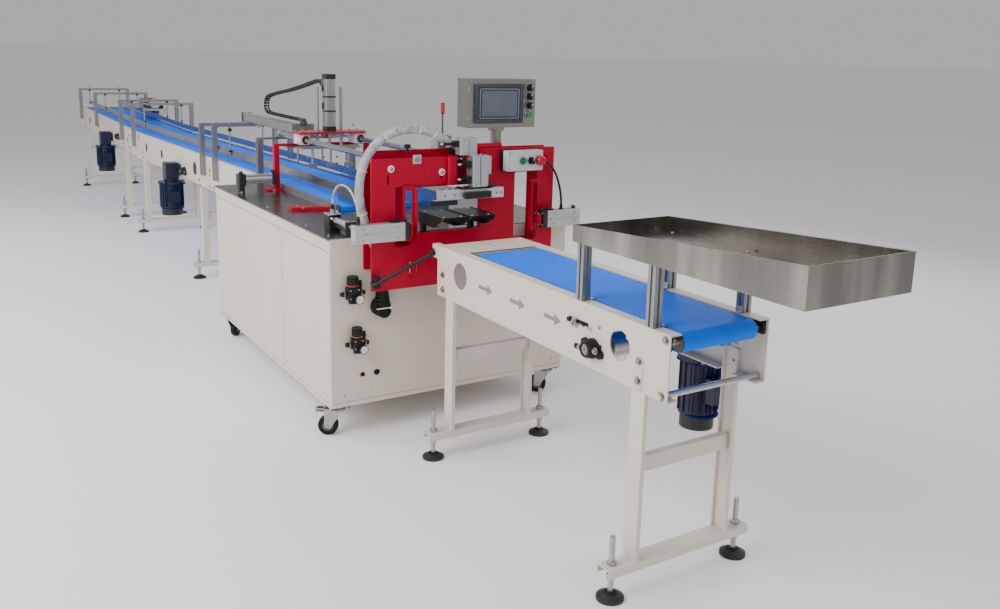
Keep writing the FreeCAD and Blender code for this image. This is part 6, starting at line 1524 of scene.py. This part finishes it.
def dressTable():
    x0, x1, y0, y1 = table["stop"]
    rods, nuts = Shape(), []
    for x in (x0 + 10, x1 - 10):
        for z in (844, 880):
            rods.rod((x, 70, z), (x, 202, z), 3, 0.3, 12)
            nuts.append(((x, 34.2, z), (0, -1, 0)))
    rods.piece("stopTieRods", "machine", "zincSteel")
    repeat("stopNuts", "machine", "zincSteel", "hexNut", [((p[0], p[1] + 6.5, p[2]), d) for p, d in nuts], 0.5)
    repeat("stopFittings", "machine", "greyPlastic", "airFitting",
           [((-1270, 52, 902 - 12), (0, 0, 1)), ((-1270, 208, 886), (0, 0, 1))], 0.8)
    feet = Shape()  # angle feet under the cylinder
    for y in (44, 206):
        feet.block((x0 - 12, x1 + 12), (y - 6, y + 6), (800.1, 804), 0.8)
    feet.piece("stopFeet", "machine", "zincSteel")
    marks = [((x, y, 804), (0, 0, 1)) for x in (x0 - 6, x1 + 6) for y in (44, 206)]
    marks += [((x, 130, 814), (0, 0, 1)) for x in (-690, -625)]
    marks += [((x, y, 800.1), (0, 0, 1)) for x in (-1500, -780, -300, -60) for y in (24, 1070)]
    repeat("topScrews", "machine", "zincSteel", "capScrew", marks, 0.85)
    corners = Shape()
    corners.block((-229, -172), (69, 127), (858, 861), 1)
    corners.rod((-172, 98, 838), (-4, 98, 838), 12.4, 1, 28)
    corners.ring((-60, 98, 838), (-40, 98, 838), 17, 12.5, 26, 1.5, 32)
    corners.piece("cornerBarrel", "machine", "barrelAluminium")
    lids = [((x, y, 861), (0, 0, 1)) for x in (-222, -180) for y in (76, 120)]
    repeat("cornerScrews", "machine", "zincSteel", "capScrew", lids, 0.6)
    taps = [((-172, 80, 846), (1, 0, 0)), ((-231, 98, 840), (-1, 0, 0)), ((-190, 112, 861), (0, 0, 1))]
    repeat("cornerFittings", "machine", "greyPlastic", "airFitting", taps, 0.85)
    guard = Shape()
    for x in (-1130, -990, -850):
        guard.block((x - 10, x + 10), (733.6, 735.4), (806, 834), 0.6)
    guard.piece("guardClips", "machine", "zincSteel")
    heads = [((x, 733.4, z), (0, -1, 0)) for x in (-1130, -990, -850) for z in (814, 826)]
    repeat("guardScrews", "machine", "zincSteel", "domeScrew", heads, 0.8)


dressTable()
print("gantry and table")

# Infeed: posts, hangers, plates, motors and the divider at the far end

infeed = {
    "plates": (255, 695), "posts": (-7640, -6700, -5400, -4880, -2720, -2430),
    "hangers": (-7621.5, -6681.5, -5381.5, -4861.5, -2701.5, -2411.5), "hangerY": (327, 623),
    "legs": (-2870, -4630, -5410, -7520), "bearings": ((-3255, 660), (-5660, 686)),
    "motors": ((-3389, 193, 346, 706, -1), (-5969, 193, 346, 706, -1), (1205, 760, 351, 719, 1)),
    "joints": (-2575, -5140),
    "holes": [(-2606, 712, 12.5, 13.5), (-2986, 709.6, 40.5, 40.5), (-3946, 702.7, 25, 33), (-4476, 698.9, 25, 33),
              (-5236, 695, 13, 14), (-6711, 709.6, 21, 33), (-7216, 714.6, 25, 34)],
}


def dressInfeed():
    near, far = infeed["plates"]
    bolts, nuts, knobs = [], [], Shape()
    for x in infeed["posts"]:
        for y, out in ((229, -1), (721, 1)):
            bolts += [((x, y, z), (0, out, 0)) for z in (722, 772)]
    for x in infeed["legs"]:
        for y, out in ((near, -1), (far, 1)):
            bolts += [((x + dx, y, z), (0, out, 0)) for dx, z in ((-9, 648), (9, 612))]
    for x in infeed["joints"]:
        for y, out in ((near, -1), (far, 1)):
            bolts += [((x + dx, y, z), (0, out, 0)) for dx in (-44, 44) for z in (640, 740)]
    repeat("infeedBolts", "machine", "boltSteel", "hexBolt", bolts, 0.85)
    plates = Shape()
    for x in infeed["joints"]:
        for y, out in ((near, -1), (far, 1)):
            plates.block((x - 62, x + 62), (y - (0.9 if out < 0 else 0), y + (0.9 if out > 0 else 0)), (622, 758), 0.3)
    plates.piece("jointPlates", "machine", "creamPaint")
    seams = Shape()
    for x in infeed["joints"]:
        for y, out in ((near, -1), (far, 1)):
            seams.block((x - 0.9, x + 0.9), (y, y + out * 0.3), (758, 828))
            seams.block((x - 0.9, x + 0.9), (y, y + out * 0.3), (590, 622))
    seams.piece("jointSeams", "machine", "seamShadow")
    for x in infeed["hangers"]:
        for y in infeed["hangerY"]:
            knobs.lathe((x + 4, y, 1006), (x + 30, y, 1006), [(3.2, 0), (3.2, 9), (8.5, 10), (9.5, 12), (9.5, 18),
                                                              (7.5, 20), (0, 20.5)], 8)
            knobs.block((x - 9, x + 7), (y - 8, y + 8), (996, 1016), 1.2)
            knobs.ring((x, y, 871), (x, y, 900), 7.6, 4.6, 11, 0.8, 20)
    knobs.piece("hangerKnobs", "machine", "blackPlastic")
    for x, z in infeed["bearings"]:
        nuts += [((x + dx, 243, z + dz), (0, -1, 0)) for dx, dz in ((-36, 4), (36, -4))]
    repeat("infeedBearingBolts", "machine", "boltSteel", "hexBolt", nuts, 0.8)
    hubs, ends = Shape(), Shape()
    for x, z in infeed["bearings"]:
        hubs.lathe((x, 240, z), (x, 200, z), [(25, 0), (24, 8), (21, 14), (17.5, 16.6), (17.5, 13), (12, 13)], 36)
        ends.lathe((x, 230, z), (x, 200, z), [(11.5, 0), (11.5, 10), (10.6, 11.2), (3.6, 11.2), (3, 9), (0, 9)], 24)
    hubs.piece("infeedBearings", "machine", "blackPlastic")
    ends.piece("infeedShaftEnds", "machine", "boltSteel")
    rails = Shape()  # joints and clamp pads of the guide rails
    for x in infeed["hangers"]:
        for y in infeed["hangerY"]:
            rails.block((x - 22, x + 22), (y - 11, y + 11), (862, 868), 0.8)
    rails.piece("railPads", "machine", "zincSteel")
    # painted shade: flat dark ovals on both plates stand for the holes' shaded insides
    holeShades = Shape()
    rims = Shape()
    for x, z, wide, tall in infeed["holes"]:
        for y, out in ((near, -1), (far, 1)):
            loop = [(x + wide * math.cos(a), y, z + tall * math.sin(a)) for a in
                    (2 * math.pi * k / 28 for k in range(28))]
            holeShades.outline(loop, (0, out * 0.5, 0), 0.1)
            rims.tube([(x + (wide + 0.6) * math.cos(a), y + out * 0.5, z + (tall + 0.6) * math.sin(a)) for a in
                       (2 * math.pi * k / 28 for k in range(28))], 1.5, 8, True)
    if infeed["holes"]:
        holeShades.piece("plateHoles", "machine", "seamShadow")
        rims.piece("holeEdges", "machine", "blackRubber")


def dressMotors():
    bodies, fins, dark, heads = Shape(), [], Shape(), []
    for x, y, low, high, out in infeed["motors"]:
        size = 60 if x > 0 else 76  # the outfeed's motor is the small one
        ratio = size / 76
        for k in range(36):
            a = 2 * math.pi * k / 36
            if k % 3:
                fins.append(((x + (size - 5.5) * math.cos(a), y + (size - 5.5) * math.sin(a), low + 62), (0, 0, 1), math.degrees(a)))
        bodies.ring((x, y, low + 44), (x, y, low + 60), size - 0.4, size - 16, 7, 1.4, 48)
        bodies.ring((x, y, low + 214), (x, y, low + 230), size - 0.4, size - 26, 9, 1.6, 48)
        for dx, dy in ((-1, -1), (-1, 1), (1, -1), (1, 1)):  # lugs of the flange
            near, far = 48 * ratio, 74 * ratio
            bodies.block((x + min(dx * near, dx * far), x + max(dx * near, dx * far)),
                         (y + min(dy * near, dy * far), y + max(dy * near, dy * far)), (low + 214, low + 228), 3)
        for k in range(24):  # vents of the fan cover
            a, far = 2 * math.pi * k / 24, 52 * ratio
            dark.block((x + far * math.cos(a) - 2, x + far * math.cos(a) + 2), (y + far * math.sin(a) - 2, y + far * math.sin(a) + 2),
                       (low - 0.3, low + 0.4))
        face = y + out * 45
        heads += [((x + dx, face, high - 60 + dz), (0, out, 0)) for dx in (-36, 36) for dz in (-34, 34)]
        heads += [((x + dx * 62 * ratio, y + dy * 62 * ratio, low + 228), (0, 0, 1)) for dx in (-1, 1) for dy in (-1, 1)]
    repeat("motorFins", "machine", "navyPaint", "motorFin", fins)
    bodies.piece("motorFlanges", "machine", "navyPaint")
    dark.piece("fanVents", "machine", "blackPlastic")
    repeat("motorBolts", "machine", "boltSteel", "capScrew", heads, 0.9)


def dressDivider():
    cover = Shape()
    cover.block((-6474, -6392), (600.5, 741.5), (906, 983.6), 5)
    cover.piece("dividerCover", "machine", "redPaint")
    dark = Shape()
    dark.block((-6391, -6304), (600.8, 741.2), (925, 983.4), 4)
    for k in range(9):
        x = -6292 + k * 17
        dark.ring((x, 671, 948.1), (x + 9, 671, 948.1), 43.6, 30, 3, 0.6, 36)
    dark.piece("dividerMotorFins", "machine", "darkSteel")
    screws = [((x, y, 983.6), (0, 0, 1)) for x in (-6464, -6402) for y in (612, 730)]
    screws += [((x, y, 902.7), (0, 0, 1)) for x in (-6515, -6100, -5990) for y in (590, 735)]
    repeat("dividerScrews", "machine", "zincSteel", "capScrew", screws, 0.9)
    box = Shape()
    box.block((-6120, -6072), (690, 742), (903, 935), 3)
    box.rod((-6096, 716, 935), (-6096, 716, 962), 4)
    box.piece("dividerSensor", "machine", "blackPlastic")


dressInfeed()
dressMotors()
dressDivider()
print("infeed, motors and divider")

# Floor and light

light = {
    "world": 0.5, "floor": (0.93, 0.93, 0.93),
    "lamps": {
        "overheadNear": ((900, -3400, 3300), (0, 400, 600), 3.4, 190),
        "overheadFar": ((-3200, -3000, 3600), (-3600, 400, 700), 4.4, 165),
        "outletSide": ((4200, 900, 2900), (300, 500, 700), 3.0, 42),
        "behind": ((-800, 3800, 3300), (0, 500, 800), 4.5, 60),
    },
}


def makeStage():
    mesh = bpy.data.meshes.new("floor")
    reach = 400
    mesh.from_pydata([(-reach, -reach, 0), (reach, -reach, 0), (reach, reach, 0), (-reach, reach, 0)], [], [(0, 1, 2, 3)])
    floor = bpy.data.objects.new("floor", mesh)
    bpy.context.scene.collection.objects.link(floor)
    made = Finish("paleFloor", light["floor"], 0.7, Specular_IOR_Level=0.0)
    made.set("Base Color", made.mixed(made.noise(0.8, 3).step(0.4, 0.7) * 0.06, light["floor"], (0.88, 0.88, 0.88)))
    mesh.materials.append(made.material)
    world = bpy.data.worlds.new("softRoom")
    bpy.context.scene.world = world
    world.use_nodes = True
    world.node_tree.nodes["Background"].inputs[0].default_value = (1, 1, 1, 1)
    world.node_tree.nodes["Background"].inputs[1].default_value = light["world"]
    for name, (spot, aim, size, power) in light["lamps"].items():
        data = bpy.data.lights.new(name, "AREA")
        data.shape = "DISK"
        data.size = size
        data.energy = power
        lamp = bpy.data.objects.new(name, data)
        lamp.location = at(*spot)
        lamp.rotation_mode = "QUATERNION"
        lamp.rotation_quaternion = (at(*aim) - at(*spot)).to_track_quat("-Z", "Y")
        bpy.context.scene.collection.objects.link(lamp)


makeStage()
